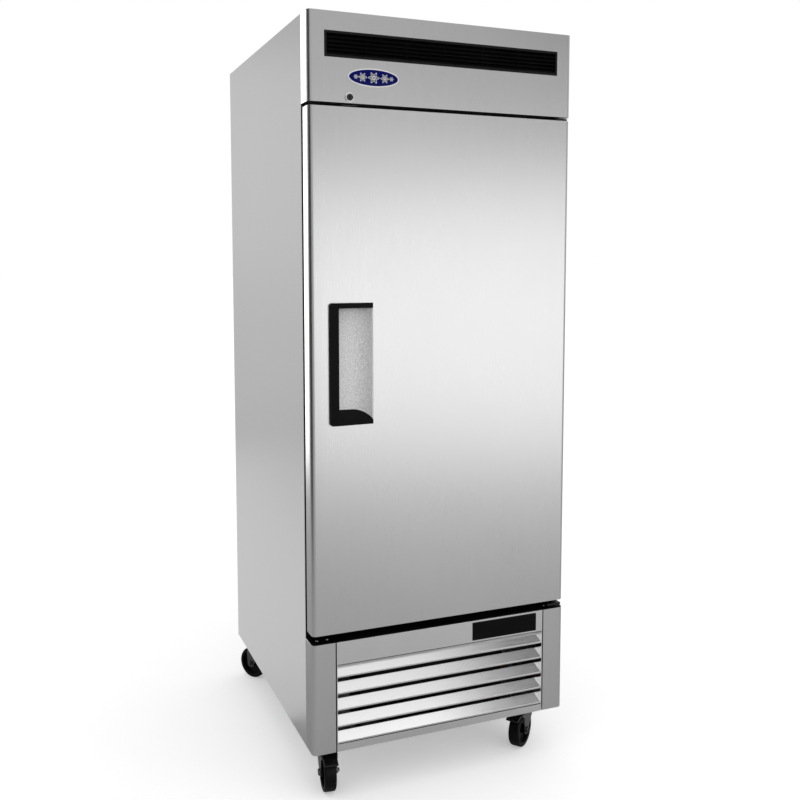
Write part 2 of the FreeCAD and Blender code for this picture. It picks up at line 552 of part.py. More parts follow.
fan_blade("condenser_fan_blade", FAN_Z, "fan", "26", f"{SHROUD_Y[1]}-2", "22", 28)
fan_motor("condenser_fan_motor", FAN_Z, "42", f"{SHROUD_Y[1]}+24", "duct+3", "24")

comp = body("compressor_shell")
turned = comp.newObject("PartDesign::Revolution", "compressor_turned")
COMP_X, COMP_Y, COMP_R, COMP_Z = "comp_x", "comp_y", "comp_r", ("comp_low", "comp_high")
profile = sketch(comp, "XZ", "0", [[
    ("0", COMP_Z[0]), (f"{COMP_R}-30", COMP_Z[0]),
    (COMP_R, f"{COMP_Z[0]}+30", f"{COMP_R}-30", f"{COMP_Z[0]}+30", 1),
    (COMP_R, f"{COMP_Z[1]}-45"),
    (f"{COMP_R}-45", COMP_Z[1], f"{COMP_R}-45", f"{COMP_Z[1]}-45", 1), ("0", COMP_Z[1])]])
turned.Profile = profile
turned.ReferenceAxis = (profile, ["V_Axis"])
turned.Angle = 360
place(comp, COMP_X, COMP_Y, "0")
foot = box("compressor_foot", (f"{COMP_X}-105", f"{COMP_X}+105"), (f"{COMP_Y}-80", f"{COMP_Y}+80"),
           ("comp_low-8", "comp_low+2"))
terminal = box("compressor_terminal", (f"{COMP_X}-30", f"{COMP_X}+30"), (f"{COMP_Y}-112", f"{COMP_Y}-70"),
               ("210", "280"))
grommets = [rod(f"grommet_{i}_{j}", "Z", (f"{COMP_X}+{i}*85", f"{COMP_Y}+{j}*62"), "12", ("lift+2", "comp_low-7"))
            for i in (-1, 1) for j in (-1, 1)]
keep(fuse("compressor_unit", comp, foot, terminal, *grommets), "compressor")

tray = body("condensate_pan")
TRAY_LOW = "lift+2"
pad(tray, "XY", TRAY_LOW, f"{TRAY_LOW}+tray_tall", [oblong(
    ("tray_left", "tray_right"), ("tray_front", "tray_back"))])
pocket(tray, "XY", f"{TRAY_LOW}+tray_wall", f"{TRAY_LOW}+tray_tall+1", [oblong(
    ("tray_left+tray_wall", "tray_right-tray_wall"), ("tray_front+tray_wall", "tray_back-tray_wall"))])
keep(tray, "condensate_pan")

gland_nut = rod("gland_nut", "Y", GLAND_AT, "gland_neck+5", (f"{BACK}-skin-9", f"{BACK}-skin"))
gland_neck = rod("gland_neck", "Y", GLAND_AT, "gland_neck", (f"{BACK}-skin", BACK))
gland_bore = rod("gland_bore", "Y", GLAND_AT, "cord_bore", (f"{BACK}-skin-10", f"{BACK}+1"))
keep(cut("gland", fuse("gland_solid", gland_nut, gland_neck), gland_bore), "cord_gland")


def pipe_shape(points, radius, bend):
    """A tube along straight runs joined by tangent arcs of one radius."""
    edges, start = [], points[0]
    for before, corner, after in zip(points, points[1:], points[2:]):
        into, out = (before - corner).normalize(), (after - corner).normalize()
        half = into.getAngle(out) / 2
        reach = bend / math.tan(half)
        first, last = corner + into * reach, corner + out * reach
        middle = (into + out).normalize()
        centre = corner + middle * (bend / math.sin(half))
        edges += [Part.LineSegment(start, first).toShape(),
                  Part.Arc(first, centre - middle * bend, last).toShape()]
        start = last
    edges.append(Part.LineSegment(start, points[-1]).toShape())
    path = Part.Wire(edges)
    ring = Part.Wire(Part.makeCircle(radius, points[0], points[1] - points[0]))
    return path.makePipeShell([ring], True, False)


def pipe(points, radius, bend):
    return pipe_shape([Vector(*(number(c) for c in p)) for p in points], number(radius), bend)


# Stations of the tubes: the coil's two ports stand at its right end, the drier lies beside it.
PORT = ("coil_x+9", f"{COIL_FRONT}+25")
HOT_Z, COOL_Z, COLD_Z = "320", "190", "250"
DRIER_X, DRIER_Y = "coil_x+52", (f"{COIL_FRONT}+50", f"{COIL_FRONT}+190")
suction = pipe([(COMP_X, f"{COMP_Y}+{COMP_R}+0.2", COLD_Z), (COMP_X, "200", COLD_Z), ("line_x", "200", COLD_Z),
                ("line_x", "line_y", COLD_Z), ("line_x", "line_y", "line_high"), ("line_x", "190", "line_high")],
               "line", 14)
discharge = pipe([(COMP_X, f"{COMP_Y}-{COMP_R}-0.2", HOT_Z), (COMP_X, "-60", HOT_Z), ("200", "-60", HOT_Z),
                  ("200", "-180", HOT_Z), ("240", "-180", HOT_Z), ("240", PORT[1], HOT_Z), (*PORT, HOT_Z)],
                 "4", 9)
liquid = pipe([(*PORT, COOL_Z), (DRIER_X, PORT[1], COOL_Z), (DRIER_X, DRIER_Y[0], COOL_Z)], "3", 9)
drier = pipe([(DRIER_X, DRIER_Y[0], COOL_Z), (DRIER_X, DRIER_Y[1], COOL_Z)], "14", 9)
capillary = pipe([(DRIER_X, DRIER_Y[1], COOL_Z), (DRIER_X, "180", COOL_Z), (DRIER_X, "180", COLD_Z),
                  ("245", "180", COLD_Z)], "1.6", 6)
lines = doc.addObject("Part::Feature", "lines")
lines.Shape = Part.makeCompound([suction, discharge, liquid, drier, capillary])
keep(lines, "refrigerant_lines")

# ---------------------------------------------------------------- evaporator, light, shelves and their rails
EVAP_Y = ("evap_front", "evap_back")
EVAP_Z = ("evap_low", LINER_Z[1])
EVAP_FAN_Z = f"(evap_low+{LINER_Z[1]})/2"
evap = body("evaporator_cover")
pad(evap, "XY", *EVAP_Z, [oblong(("-evap_x", "evap_x"), EVAP_Y)])
pocket(evap, "XY", "evap_low+1.5", f"{LINER_Z[1]}+1", [oblong(
    ("-evap_x+1.5", "evap_x-1.5"), ("evap_front+1.5", "evap_back-1.5"))])
pocket(evap, "XZ", "evap_front-1", "evap_front+3", circles=[("0", EVAP_FAN_Z, "evap_fan+5")])
outlet = pocket(evap, "XZ", "evap_back-3", "evap_back+1", [oblong(
    ("-evap_x+25", "-evap_x+55"), ("evap_low+25", "evap_low+135"))])
row(evap, outlet, "X", "2*evap_x-100", "9")
pocket(evap, "XZ", "evap_back-3", "evap_back+1", circles=[("line_x", "line_high", LINE_HOLE)])
keep(evap, "evaporator_cover")

evap_fins = box("evaporator_fins", ("-evap_coil_x", "evap_coil_x"), ("evap_coil_front", "evap_coil_back"),
                ("evap_low+evap_clear", f"{LINER_Z[1]}-evap_clear"))
evap_ends = [box(f"evaporator_end_{n}", (f"{s}*(evap_coil_x+4)-1", f"{s}*(evap_coil_x+4)+1"),
                 ("evap_coil_front-6", "evap_coil_back+6"), ("evap_low+1.5", f"{LINER_Z[1]}-4"))
             for n, s in (("left", -1), ("right", 1))]
EVAP_PASSES, EVAP_ROWS = 4, 3
evap_tubes = [rod(f"evaporator_pass_{i}_{j}", "X",
                  (f"evap_coil_front+{22 + 36 * j}", f"evap_low+{34 + 32 * i}"), "coil_tube",
                  ("-evap_coil_x-12", "evap_coil_x+12")) for i in range(EVAP_PASSES) for j in range(EVAP_ROWS)]
keep(fuse("evaporator", evap_fins, *evap_ends, *evap_tubes), "evaporator_coil")
fan_blade("evaporator_fan_blade", EVAP_FAN_Z, "evap_fan", "16", "evap_front+10", "16", 28)
fan_motor("evaporator_fan_motor", EVAP_FAN_Z, "26", "evap_front+30", "evap_fan+5", "28.5")

lamp = body("interior_light")
LAMP_Y = (f"{FACE}+wall+liner", f"{FACE}+wall+liner+lamp_deep")
pad(lamp, "YZ", "-lamp_x", "lamp_x", [oblong(LAMP_Y, ("lamp_low", "lamp_high"))])
fillet(lamp, "lamp_round", lambda edge: edge.BoundBox.XLength > number("2*lamp_x-1")
       and edge.BoundBox.YMin > number(LAMP_Y[1]) - 1)
keep(lamp, "interior_light")

RAIL_HIGH = "rail_low+rail_pitch*rail_slots+20"
rail = body("rail")
pad(rail, "XY", "rail_low", RAIL_HIGH, [[
    ("0", "-rail_wide/2"), ("rail_deep", "-rail_wide/2"), ("rail_deep", "rail_wide/2"), ("0", "rail_wide/2"),
    ("0", "rail_wide/2-1.5"), ("rail_deep-1.5", "rail_wide/2-1.5"), ("rail_deep-1.5", "-rail_wide/2+1.5"),
    ("0", "-rail_wide/2+1.5")]])
notch = pocket(rail, "YZ", "rail_deep-3", "rail_deep+1", [oblong(("-4", "4"), ("rail_low+15", "rail_low+20"))])
row(rail, notch, "Z", "rail_pitch*(rail_slots-1)", "rail_slots")
RAIL_YS = (number("rail_front"), number("rail_back"))
wall_x = number(LINER_X[1])
turns = ((-wall_x, 0), (wall_x, 180))
rails = copies("rails", rail, [Placement(Vector(x, y, 0), Rotation(Vector(0, 0, 1), angle))
                               for x, angle in turns for y in RAIL_YS])
keep(rails, "shelf_pilasters")

SHELVES = ("shelf_low", "shelf_middle", "shelf_high")
clip = body("clip")
pad(clip, "XZ", "-5", "5", [[("rail_deep", "-18"), ("rail_deep+2", "-18"), ("rail_deep+16", "-2"),
                             ("rail_deep+16", "0"), ("rail_deep", "0")]])
CLIP_LEVELS = [number(f"shelf_first-frame_wire+shelf_step*{level}") for level in range(len(SHELVES))]
clips = copies("clips", clip, [Placement(Vector(x, y, z), Rotation(Vector(0, 0, 1), angle))
                               for z in CLIP_LEVELS for x, angle in turns for y in RAIL_YS])
keep(clips, "shelf_clips")

EDGE_X = ("-shelf_x+frame_wire", "shelf_x-frame_wire")
EDGE_Y = ("shelf_front+frame_wire", "shelf_back-frame_wire")
wires = [rod(f"frame_wire_{i}", "Y", (x, "0"), "frame_wire", EDGE_Y) for i, x in enumerate(EDGE_X)]
wires += [rod(f"cross_wire_{i}", "X", (y, "0"), "frame_wire", EDGE_X)
          for i, y in enumerate((EDGE_Y[0], "shelf_front+210", "shelf_back-210", EDGE_Y[1]))]
corners = []
for i, x in enumerate(EDGE_X):
    for j, y in enumerate(EDGE_Y):
        ball = doc.addObject("Part::Sphere", f"wire_corner_{i}_{j}")
        bind(ball, Radius="frame_wire")
        place(ball, x, y, "0")
        corners.append(ball)
deck_count = int(number("deck_wires"))
for i in range(deck_count):
    x = f"{EDGE_X[0]}+(2*shelf_x-2*frame_wire)*{i + 1}/(deck_wires+1)"
    wires.append(rod(f"deck_wire_{i}", "Y", (x, "frame_wire+deck_wire-0.8"), "deck_wire",
                     ("shelf_front+1", "shelf_back-1")))
shelf = fuse("shelf_wires", *wires, *corners)
for level, label in enumerate(SHELVES):
    made = copies(label, shelf, [Placement()])
    made.Placement = Placement(Vector(0, 0, number("shelf_first") + number("shelf_step") * level), Rotation())
    keep(made, label)

# ---------------------------------------------------------------- door
DOOR_X = (f"{LEFT}+door_side", f"{RIGHT}-door_side")
DOOR_Z = (DOOR_LOW, DOOR_HIGH)
PIVOT = ("pivot_x", f"{FRONT}+pivot_in")
PULL_Z = ("lift+pull_up", "lift+pull_up+pull_tall")
CUT_X = ("pull_x+4", "pull_x+pull_wide")
CUP_Z = (f"{PULL_Z[0]}+pull_rim", f"{PULL_Z[1]}-pull_rim")
CAM_SLOT = oblong(("lock_x-9", "lock_x+24"), (f"{LOCK_IN}-2", f"{LOCK_IN}+cam_thick+2"))
# the scoop's plan: an arc from the door's face in to its full depth, then straight to the left wall
SCOOP_RIGHT = "pull_x+pull_wide-2"
SCOOP_TURN = f"{SCOOP_RIGHT}-scoop_run"
SCOOP_CENTRE = f"{FRONT}+(scoop*scoop-scoop_run*scoop_run)/(2*scoop)"
SCOOP_BACK = f"{FRONT}+scoop"
CUP_RIGHT = f"{SCOOP_TURN}+sqrt(({SCOOP_BACK}+cup-({SCOOP_CENTRE}))^2-({FRONT}-({SCOOP_CENTRE}))^2)"


def scoop_plan(left, right, back):
    return [(right, FRONT), (SCOOP_TURN, back, SCOOP_TURN, SCOOP_CENTRE, 1), (left, back), (left, FRONT)]


skin = body("door_skin")
pad(skin, "XY", *DOOR_Z, [oblong(DOOR_X, (FRONT, DOOR_BACK))])
fillet(skin, "corner", upright_at((DOOR_X[0], FRONT), (DOOR_X[1], FRONT)))
shell(skin, "skin", facing(0, 1, 0))
pocket(skin, "XZ", f"{FRONT}-1", f"{FRONT}+5", [oblong(CUT_X, (f"{CUP_Z[0]}-3", f"{CUP_Z[1]}+3"))])
pocket(skin, "XY", f"{DOOR_HIGH}-5", f"{DOOR_HIGH}+1", [CAM_SLOT], [(*PIVOT, "pin_top+3.1")])
pocket(skin, "XY", f"{DOOR_LOW}-1", f"{DOOR_LOW}+5", circles=[(*PIVOT, "pin_low+5.1")])
keep(skin, "door_skin")

FILL_X = (f"{DOOR_X[0]}+skin", f"{DOOR_X[1]}-skin")
FILL_Z = (f"{DOOR_LOW}+skin", f"{DOOR_HIGH}-skin")
DISH_X = ("-plug_x", "plug_x")
DISH_Z = (f"{DOOR_LOW}+plug_z", f"{DOOR_HIGH}-plug_z")
DISH_BACK = f"{DOOR_BACK}+plug_deep"
core = body("door_foam")
pad(core, "XY", *FILL_Z, [oblong(FILL_X, (f"{FRONT}+skin", f"{DOOR_BACK}-skin"))])
fillet(core, "corner-skin", upright_at((FILL_X[0], f"{FRONT}+skin"), (FILL_X[1], f"{FRONT}+skin")))
pad(core, "XZ", f"{DOOR_BACK}-skin", f"{DISH_BACK}-liner", [oblong(
    (f"{DISH_X[0]}+liner", f"{DISH_X[1]}-liner"), (f"{DISH_Z[0]}+liner", f"{DISH_Z[1]}-liner"))])
pocket(core, "XY", f"{CUP_Z[0]}-3", f"{CUP_Z[1]}+3", [
    scoop_plan("pull_x+4", CUP_RIGHT, f"{SCOOP_BACK}+cup")])
pocket(core, "XY", f"{DOOR_HIGH}-10", f"{DOOR_HIGH}+1", [CAM_SLOT])
pocket(core, "XY", f"{DOOR_HIGH}-32", f"{DOOR_HIGH}+1", circles=[(*PIVOT, "pin_top+3.1")])
pocket(core, "XY", f"{DOOR_LOW}-1", f"{DOOR_LOW}+36", circles=[(*PIVOT, "pin_low+5.1")])
keep(core, "door_foam")

liner_plate = box("liner_plate", FILL_X, (f"{DOOR_BACK}-skin", DOOR_BACK), FILL_Z)
liner_dish = box("liner_dish", DISH_X, (f"{DOOR_BACK}-skin", DISH_BACK), DISH_Z)
liner_fill = box("liner_fill", (f"{DISH_X[0]}+liner", f"{DISH_X[1]}-liner"),
                 (f"{DOOR_BACK}-2*skin", f"{DISH_BACK}-liner"), (f"{DISH_Z[0]}+liner", f"{DISH_Z[1]}-liner"))
keep(cut("door_inner", fuse("door_inner_solid", liner_plate, liner_dish), liner_fill), "door_liner")

gasket = body("door_gasket")
SEAL_Z = (f"{DOOR_LOW}+seal_z", f"{DOOR_HIGH}-seal_z")
pad(gasket, "XZ", DOOR_BACK, f"{DOOR_BACK}+seal", [oblong(("-seal_x", "seal_x"), SEAL_Z)])
pocket(gasket, "XZ", DOOR_BACK, f"{DOOR_BACK}+seal", [oblong(
    ("-seal_x+seal_wide", "seal_x-seal_wide"), (f"{SEAL_Z[0]}+seal_wide", f"{SEAL_Z[1]}-seal_wide"))])
keep(gasket, "door_gasket")

# ---------------------------------------------------------------- recessed pull: black rim and grey scoop
LIP_X = "pull_x+lip_wide"
rim = body("pull_rim_body")
pad(rim, "XZ", f"{FRONT}-lip", FRONT, [[
    ("pull_x", PULL_Z[0]), ("pull_x+pull_wide", PULL_Z[0]), ("pull_x+pull_wide", CUP_Z[0]), (LIP_X, CUP_Z[0]),
    (LIP_X, CUP_Z[1]), ("pull_x+pull_wide", CUP_Z[1]), ("pull_x+pull_wide", PULL_Z[1]), ("pull_x", PULL_Z[1])]])
fillet(rim, "lip", lambda edge: edge.BoundBox.XMax < number("pull_x") + 0.01
       and abs(edge.BoundBox.YLength - number("lip")) < 0.01)
pocket(rim, "XY", f"{PULL_Z[0]}-1", f"{PULL_Z[1]}+1", [[
    (LIP_X, f"{FRONT}-lip"), ("pull_x+pull_wide+1", f"{FRONT}-lip-1"),
    ("pull_x+pull_wide+1", f"{FRONT}-lip_tip")]])
pad(rim, "XZ", FRONT, f"{FRONT}+4", [oblong(("pull_x+4+cup", LIP_X), CUP_Z)])
for low, high in ((f"{CUP_Z[0]}-3", CUP_Z[0]), (CUP_Z[1], f"{CUP_Z[1]}+3")):
    pad(rim, "XY", low, high, [scoop_plan("pull_x+4", SCOOP_RIGHT, SCOOP_BACK)])

sill = body("pull_sill")
SILL_TOP = f"{CUP_Z[0]}+sill_rise"
pad(sill, "XY", CUP_Z[0], SILL_TOP, [scoop_plan("pull_x+4+cup", SCOOP_RIGHT, SCOOP_BACK)])
pocket(sill, "YZ", "pull_x", "pull_x+pull_wide+1", [[
    (f"{FRONT}-1", f"{CUP_Z[0]}+0.5"), (f"{SCOOP_BACK}+1", SILL_TOP), (f"{SCOOP_BACK}+1", f"{SILL_TOP}+2"),
    (f"{FRONT}-1", f"{SILL_TOP}+2")]])
keep(fuse("pull_black", rim, sill), "handle_bezel")

cup = body("handle_cup")
pad(cup, "XY", *CUP_Z, [[
    (CUP_RIGHT, FRONT), (SCOOP_TURN, f"{SCOOP_BACK}+cup", SCOOP_TURN, SCOOP_CENTRE, 1),
    ("pull_x+4", f"{SCOOP_BACK}+cup"), ("pull_x+4", f"{FRONT}+skin"), ("pull_x+4+cup", f"{FRONT}+skin"),
    ("pull_x+4+cup", SCOOP_BACK), (SCOOP_TURN, SCOOP_BACK),
    (SCOOP_RIGHT, FRONT, SCOOP_TURN, SCOOP_CENTRE, -1)]])
keep(cup, "handle_cup")

# ---------------------------------------------------------------- hinges
top_leaf = box("top_leaf", ("pivot_x-20", f"{RIGHT}-3"), (f"{PIVOT[1]}-14", f"{FACE}-skin"),
               (f"{DOOR_HIGH}+2.5", f"{DOOR_HIGH}+6.5"))
top_plate = box("top_plate", ("pivot_x-20", f"{RIGHT}-3"), (f"{FACE}-skin-3", f"{FACE}-skin"),
                (f"{DOOR_HIGH}+2.5", f"{HEAD_LOW}+46"))
top_pin = rod("top_pin", "Z", PIVOT, "pin_top", (f"{DOOR_HIGH}-26", f"{DOOR_HIGH}+5"))
keep(fuse("top_hinge", top_leaf, top_plate, top_pin), "hinge_bracket_top")

low_leaf = box("low_leaf", ("pivot_x-26", f"{RIGHT}-3"), (f"{PIVOT[1]}-16", f"{FACE}-skin"),
               (f"{BASE_TOP}+5", f"{BASE_TOP}+11"))
low_plate = box("low_plate", ("pivot_x-2", f"{RIGHT}-3"), (f"{FACE}-skin-3", f"{FACE}-skin"),
                (f"{BASE_TOP}+5", f"{BASE_TOP}+62"))
low_pin = rod("low_pin", "Z", PIVOT, "pin_low", (f"{BASE_TOP}+10", f"{DOOR_LOW}+30"))
low_seat = rod("low_seat", "Z", PIVOT, "10", (f"{BASE_TOP}+10", f"{DOOR_LOW}-1"))
keep(fuse("low_hinge", low_leaf, low_plate, low_pin, low_seat), "hinge_bracket_bottom")


def bush(name, outer, bore, span):
    return cut(name, rod(name + "_out", "Z", PIVOT, outer, span),
               rod(name + "_bore", "Z", PIVOT, bore, (f"{span[0]}-1", f"{span[1]}+1")))


top_bush = bush("top_bush", "pin_top+3", "pin_top+running", (f"{DOOR_HIGH}-31", DOOR_HIGH))
low_cartridge = bush("low_cartridge", "pin_low+5", "pin_low+running", (DOOR_LOW, f"{DOOR_LOW}+35"))
keep(compound("hinge_bearings", top_bush, low_cartridge), "hinge_bushes")

# ---------------------------------------------------------------- casters
CROWN = ("lift-17", "lift-12.5")
CROWN_R, HUB_R = "27", "13"
FORK_IN = "wheel_wide/2+2.5"
FORK_OUT = "wheel_wide/2+5.5"
PEDAL_X, PEDAL_Z = "trail+22", "2*wheel+4"


def caster_plate(name):
    """The plate under the cabinet, with its upper race and the king pin that the fork turns on."""
    plate = box(name + "_flat", ("-plate_x/2", "plate_x/2"), ("-plate_y/2", "plate_y/2"), ("lift-3", "lift"))
    race = rod(name + "_race", "Z", ("0", "0"), CROWN_R, ("lift-12", "lift-3"))
    king = rod(name + "_king", "Z", ("0", "0"), "6", ("lift-21", "lift-11"))
    head = rod(name + "_head", "Z", ("0", "0"), "10", ("lift-21", "lift-17.3"))
    holes = [rod(f"{name}_hole_{i}_{j}", "Z", (f"{i}*bolt_x/2", f"{j}*bolt_y/2"), "bolt+0.5",
                 ("lift-4", "lift+1")) for i in (-1, 1) for j in (-1, 1)]
    return cut(name, fuse(name + "_solid", plate, race, king, head), *holes)


def caster_fork(name, braked):
    """Two legs under a round crown, raked back to the axle bolt that they hold."""
    made = body(name + "_frame")
    pad(made, "XY", *CROWN, [], [("0", "0", CROWN_R)])
    leg = [("-24", CROWN[1]), ("-24", "lift-24"), ("trail-13", "wheel"), ("trail+13", "wheel"),
           ("trail+17", "2*wheel-10"), ("trail-5", CROWN[1])]
    if braked:
        leg[4:] = [("trail+17", "2*wheel-8"), ("trail+30", "2*wheel-3"), ("trail+30", "2*wheel+8"),
                   ("trail+12", CROWN[1])]
    for side in (-1, 1):
        low, high = sorted((f"{side}*({FORK_IN})", f"{side}*({FORK_OUT})"), key=number)
        pad(made, "XZ", low, high, [leg])
        pad(made, "XZ", low, high, [], [("trail", "wheel", HUB_R)])
    pocket(made, "XY", CROWN[0], CROWN[1], [], [("0", "0", "6+running")])
    pocket(made, "XZ", f"-({FORK_OUT})", FORK_OUT, [], [("trail", "wheel", "axle")])
    if braked:
        pocket(made, "XZ", f"-({FORK_OUT})", FORK_OUT, [], [(PEDAL_X, PEDAL_Z, "2.5+running")])
    bolt = rod(name + "_bolt", "Y", ("trail", "wheel"), "axle", (f"-({FORK_OUT})-2", f"{FORK_OUT}+9"))
    hexes = []
    for end, low in (("head", f"-({FORK_OUT})-4.5"), ("nut", f"{FORK_OUT}")):
        made_hex = doc.addObject("Part::Prism", f"{name}_{end}")
        made_hex.Polygon = 6
        bind(made_hex, Circumradius="axle*1.75", Height="4.5")
        place(made_hex, "trail", low, "wheel", turn="-90", axis=(1, 0, 0))
        hexes.append(made_hex)
    return compound(name, made, fuse(name + "_axle", bolt, *hexes))


def caster_wheel(name):
    """A wheel turned about its bore: hub, web, and a tread with rounded shoulders."""
    made = body(name)
    half, hub, web, tread = "wheel_wide/2", "wheel_wide/2+2.2", "6", "wheel-12"
    round_off = "5"
    turned = made.newObject("PartDesign::Revolution", name + "_turned")
    half_profile = [("axle+running", f"-({hub})"), (HUB_R, f"-({hub})"), (HUB_R, f"-{web}"), (tread, f"-{web}"),
                    (tread, f"-({half})+2"), (f"{tread}+2", f"-({half})"), (f"wheel-{round_off}", f"-({half})"),
                    ("wheel", f"-({half})+{round_off}", f"wheel-{round_off}", f"-({half})+{round_off}", 1)]
    other_half = [("wheel", f"{half}-{round_off}"),
                  (f"wheel-{round_off}", half, f"wheel-{round_off}", f"{half}-{round_off}", 1),
                  (f"{tread}+2", half), (tread, f"{half}-2"), (tread, web), (HUB_R, web), (HUB_R, hub),
                  ("axle+running", hub)]
    outline = sketch(made, "XY", "0", [half_profile + other_half])
    turned.Profile = outline
    turned.ReferenceAxis = (outline, ["V_Axis"])
    turned.Angle = 360
    return made


def brake_pedal(name):
    """A lever on a pin through the fork's ears: its toe is pushed down on to the tread."""
    made = body(name + "_lever")
    inner = f"{FORK_IN}-0.4"
    pad(made, "XZ", f"-({inner})", inner, [[
        (f"{PEDAL_X}-6", f"{PEDAL_Z}-3"), (f"{PEDAL_X}+6", f"{PEDAL_Z}-4"), (f"{PEDAL_X}+38", f"{PEDAL_Z}-11"),
        (f"{PEDAL_X}+38", f"{PEDAL_Z}-7"), (f"{PEDAL_X}+6", f"{PEDAL_Z}+4"), (f"{PEDAL_X}-6", f"{PEDAL_Z}+4")]])
    pin = rod(name + "_pin", "Y", (PEDAL_X, PEDAL_Z), "2.5", (f"-({FORK_OUT})-1", f"{FORK_OUT}+1"))
    return fuse(name, made, pin)


plates = []
for name, (sign, y, turn) in CASTERS.items():
    x = f"{sign}*caster_x"
    plates.append(caster_plate(f"plate_{name}"))
    place(plates[-1], x, y, "0")
    fork = caster_fork(f"fork_{name}", name.startswith("front"))
    place(fork, x, y, "0", turn=str(turn))
    keep(fork, f"caster_fork_{name}")
    wheel = caster_wheel(f"wheel_{name}")
    place(wheel, f"{x}+trail*cos({turn})", f"{y}+trail*sin({turn})", "wheel", turn=str(turn))
    keep(wheel, f"caster_wheel_{name}")
    if name.startswith("front"):
        pedal = brake_pedal(f"pedal_{name}")
        place(pedal, x, y, "0", turn=str(turn))
        keep(pedal, f"brake_pedal_{name}")
keep(compound("plates", *plates), "caster_plates")

bolt_shank = rod("bolt_shank", "Z", ("0", "0"), "bolt", ("lift-4", "lift+9"))
bolt_hexes = []
for name, low in (("bolt_head", "lift-8.5"), ("bolt_nut", "lift+2.05")):
    hexagon = doc.addObject("Part::Prism", name)
    hexagon.Polygon = 6
    bind(hexagon, Circumradius="bolt*1.85", Height="5.5")
    place(hexagon, "0", "0", low)
    bolt_hexes.append(hexagon)
bolts = copies("bolts", fuse("bolt_whole", bolt_shank, *bolt_hexes), [
    Placement(Vector(number(x), number(y), 0), Rotation()) for x, y in BOLTS])
keep(bolts, "caster_bolts")

# ---------------------------------------------------------------- checks, then one STEP file per sub-part
doc.recompute()
for thing in doc.Objects:
    if "Invalid" in thing.State or "Error" in thing.State:
        raise RuntimeError(f"{thing.Label} failed: {thing.State}")
for thing in kept:
    if thing.Shape.isNull() or not thing.Shape.isValid():
        raise RuntimeError(f"{thing.Label} has no valid shape")
os.makedirs("parts", exist_ok=True)
for thing in kept:
    thing.Shape.exportStep(f"parts/{thing.Label}.step")
print(len(kept), "sub-parts written")
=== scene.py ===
"""A one-section reach-in refrigerator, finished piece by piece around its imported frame."""

import json
from math import cos, pi, radians, sin

import bmesh
import bpy
from mathutils import Euler, Matrix, Vector


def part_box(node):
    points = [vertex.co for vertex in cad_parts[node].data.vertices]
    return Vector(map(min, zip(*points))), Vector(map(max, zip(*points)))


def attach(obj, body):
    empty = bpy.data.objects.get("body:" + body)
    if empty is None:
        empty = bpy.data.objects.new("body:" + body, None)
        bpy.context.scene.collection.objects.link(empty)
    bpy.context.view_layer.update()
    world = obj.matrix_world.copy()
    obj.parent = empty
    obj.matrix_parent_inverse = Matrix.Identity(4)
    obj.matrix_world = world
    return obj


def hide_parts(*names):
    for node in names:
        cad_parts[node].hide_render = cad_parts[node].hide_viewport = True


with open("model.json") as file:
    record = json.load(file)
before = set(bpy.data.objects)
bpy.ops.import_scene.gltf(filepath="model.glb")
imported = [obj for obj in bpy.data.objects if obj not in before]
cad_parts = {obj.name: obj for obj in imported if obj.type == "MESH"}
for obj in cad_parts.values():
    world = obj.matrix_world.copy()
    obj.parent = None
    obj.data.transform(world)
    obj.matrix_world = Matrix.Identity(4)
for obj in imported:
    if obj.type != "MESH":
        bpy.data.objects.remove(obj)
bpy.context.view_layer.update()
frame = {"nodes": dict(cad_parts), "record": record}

# ---------------------------------------------------------------- studio: camera, floor and soft lights
# A standing person's view from the left front, tilted down a little. The large soft lights make the
# steel's broad reflections, and the small ones that follow each light one group of pieces.
scene = bpy.context.scene
scene.view_settings.view_transform = "Standard"

camera_data = bpy.data.cameras.new("studio_camera")
camera_data.lens = 42.575
camera_data.shift_y = -0.07
camera = bpy.data.objects.new("studio_camera", camera_data)
camera.location = (-1.029, -2.638, 1.383)
camera.rotation_euler = (radians(90 - 5.004), 0, radians(-22.187))
scene.collection.objects.link(camera)
scene.camera = camera

world = bpy.data.worlds.new("studio_world")
world.use_nodes = True
scene.world = world
sky = world.node_tree
sky_out = sky.nodes["Background"]
SKY_TONE = 0.52
rays = sky.nodes.new("ShaderNodeLightPath")
tint = sky.nodes.new("ShaderNodeMix")
tint.data_type = "RGBA"
tint.inputs["A"].default_value = (SKY_TONE, SKY_TONE, SKY_TONE, 1)
tint.inputs["B"].default_value = (1, 1, 1, 1)
sky.links.new(rays.outputs["Is Camera Ray"], tint.inputs["Factor"])
sky.links.new(tint.outputs["Result"], sky_out.inputs["Color"])


def softbox(name, place, target, width, height, watts, only=None):
    """A flat soft light that faces its target, and lights only that group of pieces if there is one."""
    light = bpy.data.lights.new(name, "AREA")
    light.shape = "RECTANGLE"
    light.size = width
    light.size_y = height
    light.energy = watts
    lamp = bpy.data.objects.new(name, light)
    lamp.location = place
    lamp.rotation_euler = (Vector(target) - Vector(place)).to_track_quat("-Z", "Y").to_euler()
    lamp.visible_camera = False
    scene.collection.objects.link(lamp)
    if only:
        lamp.light_linking.receiver_collection = only


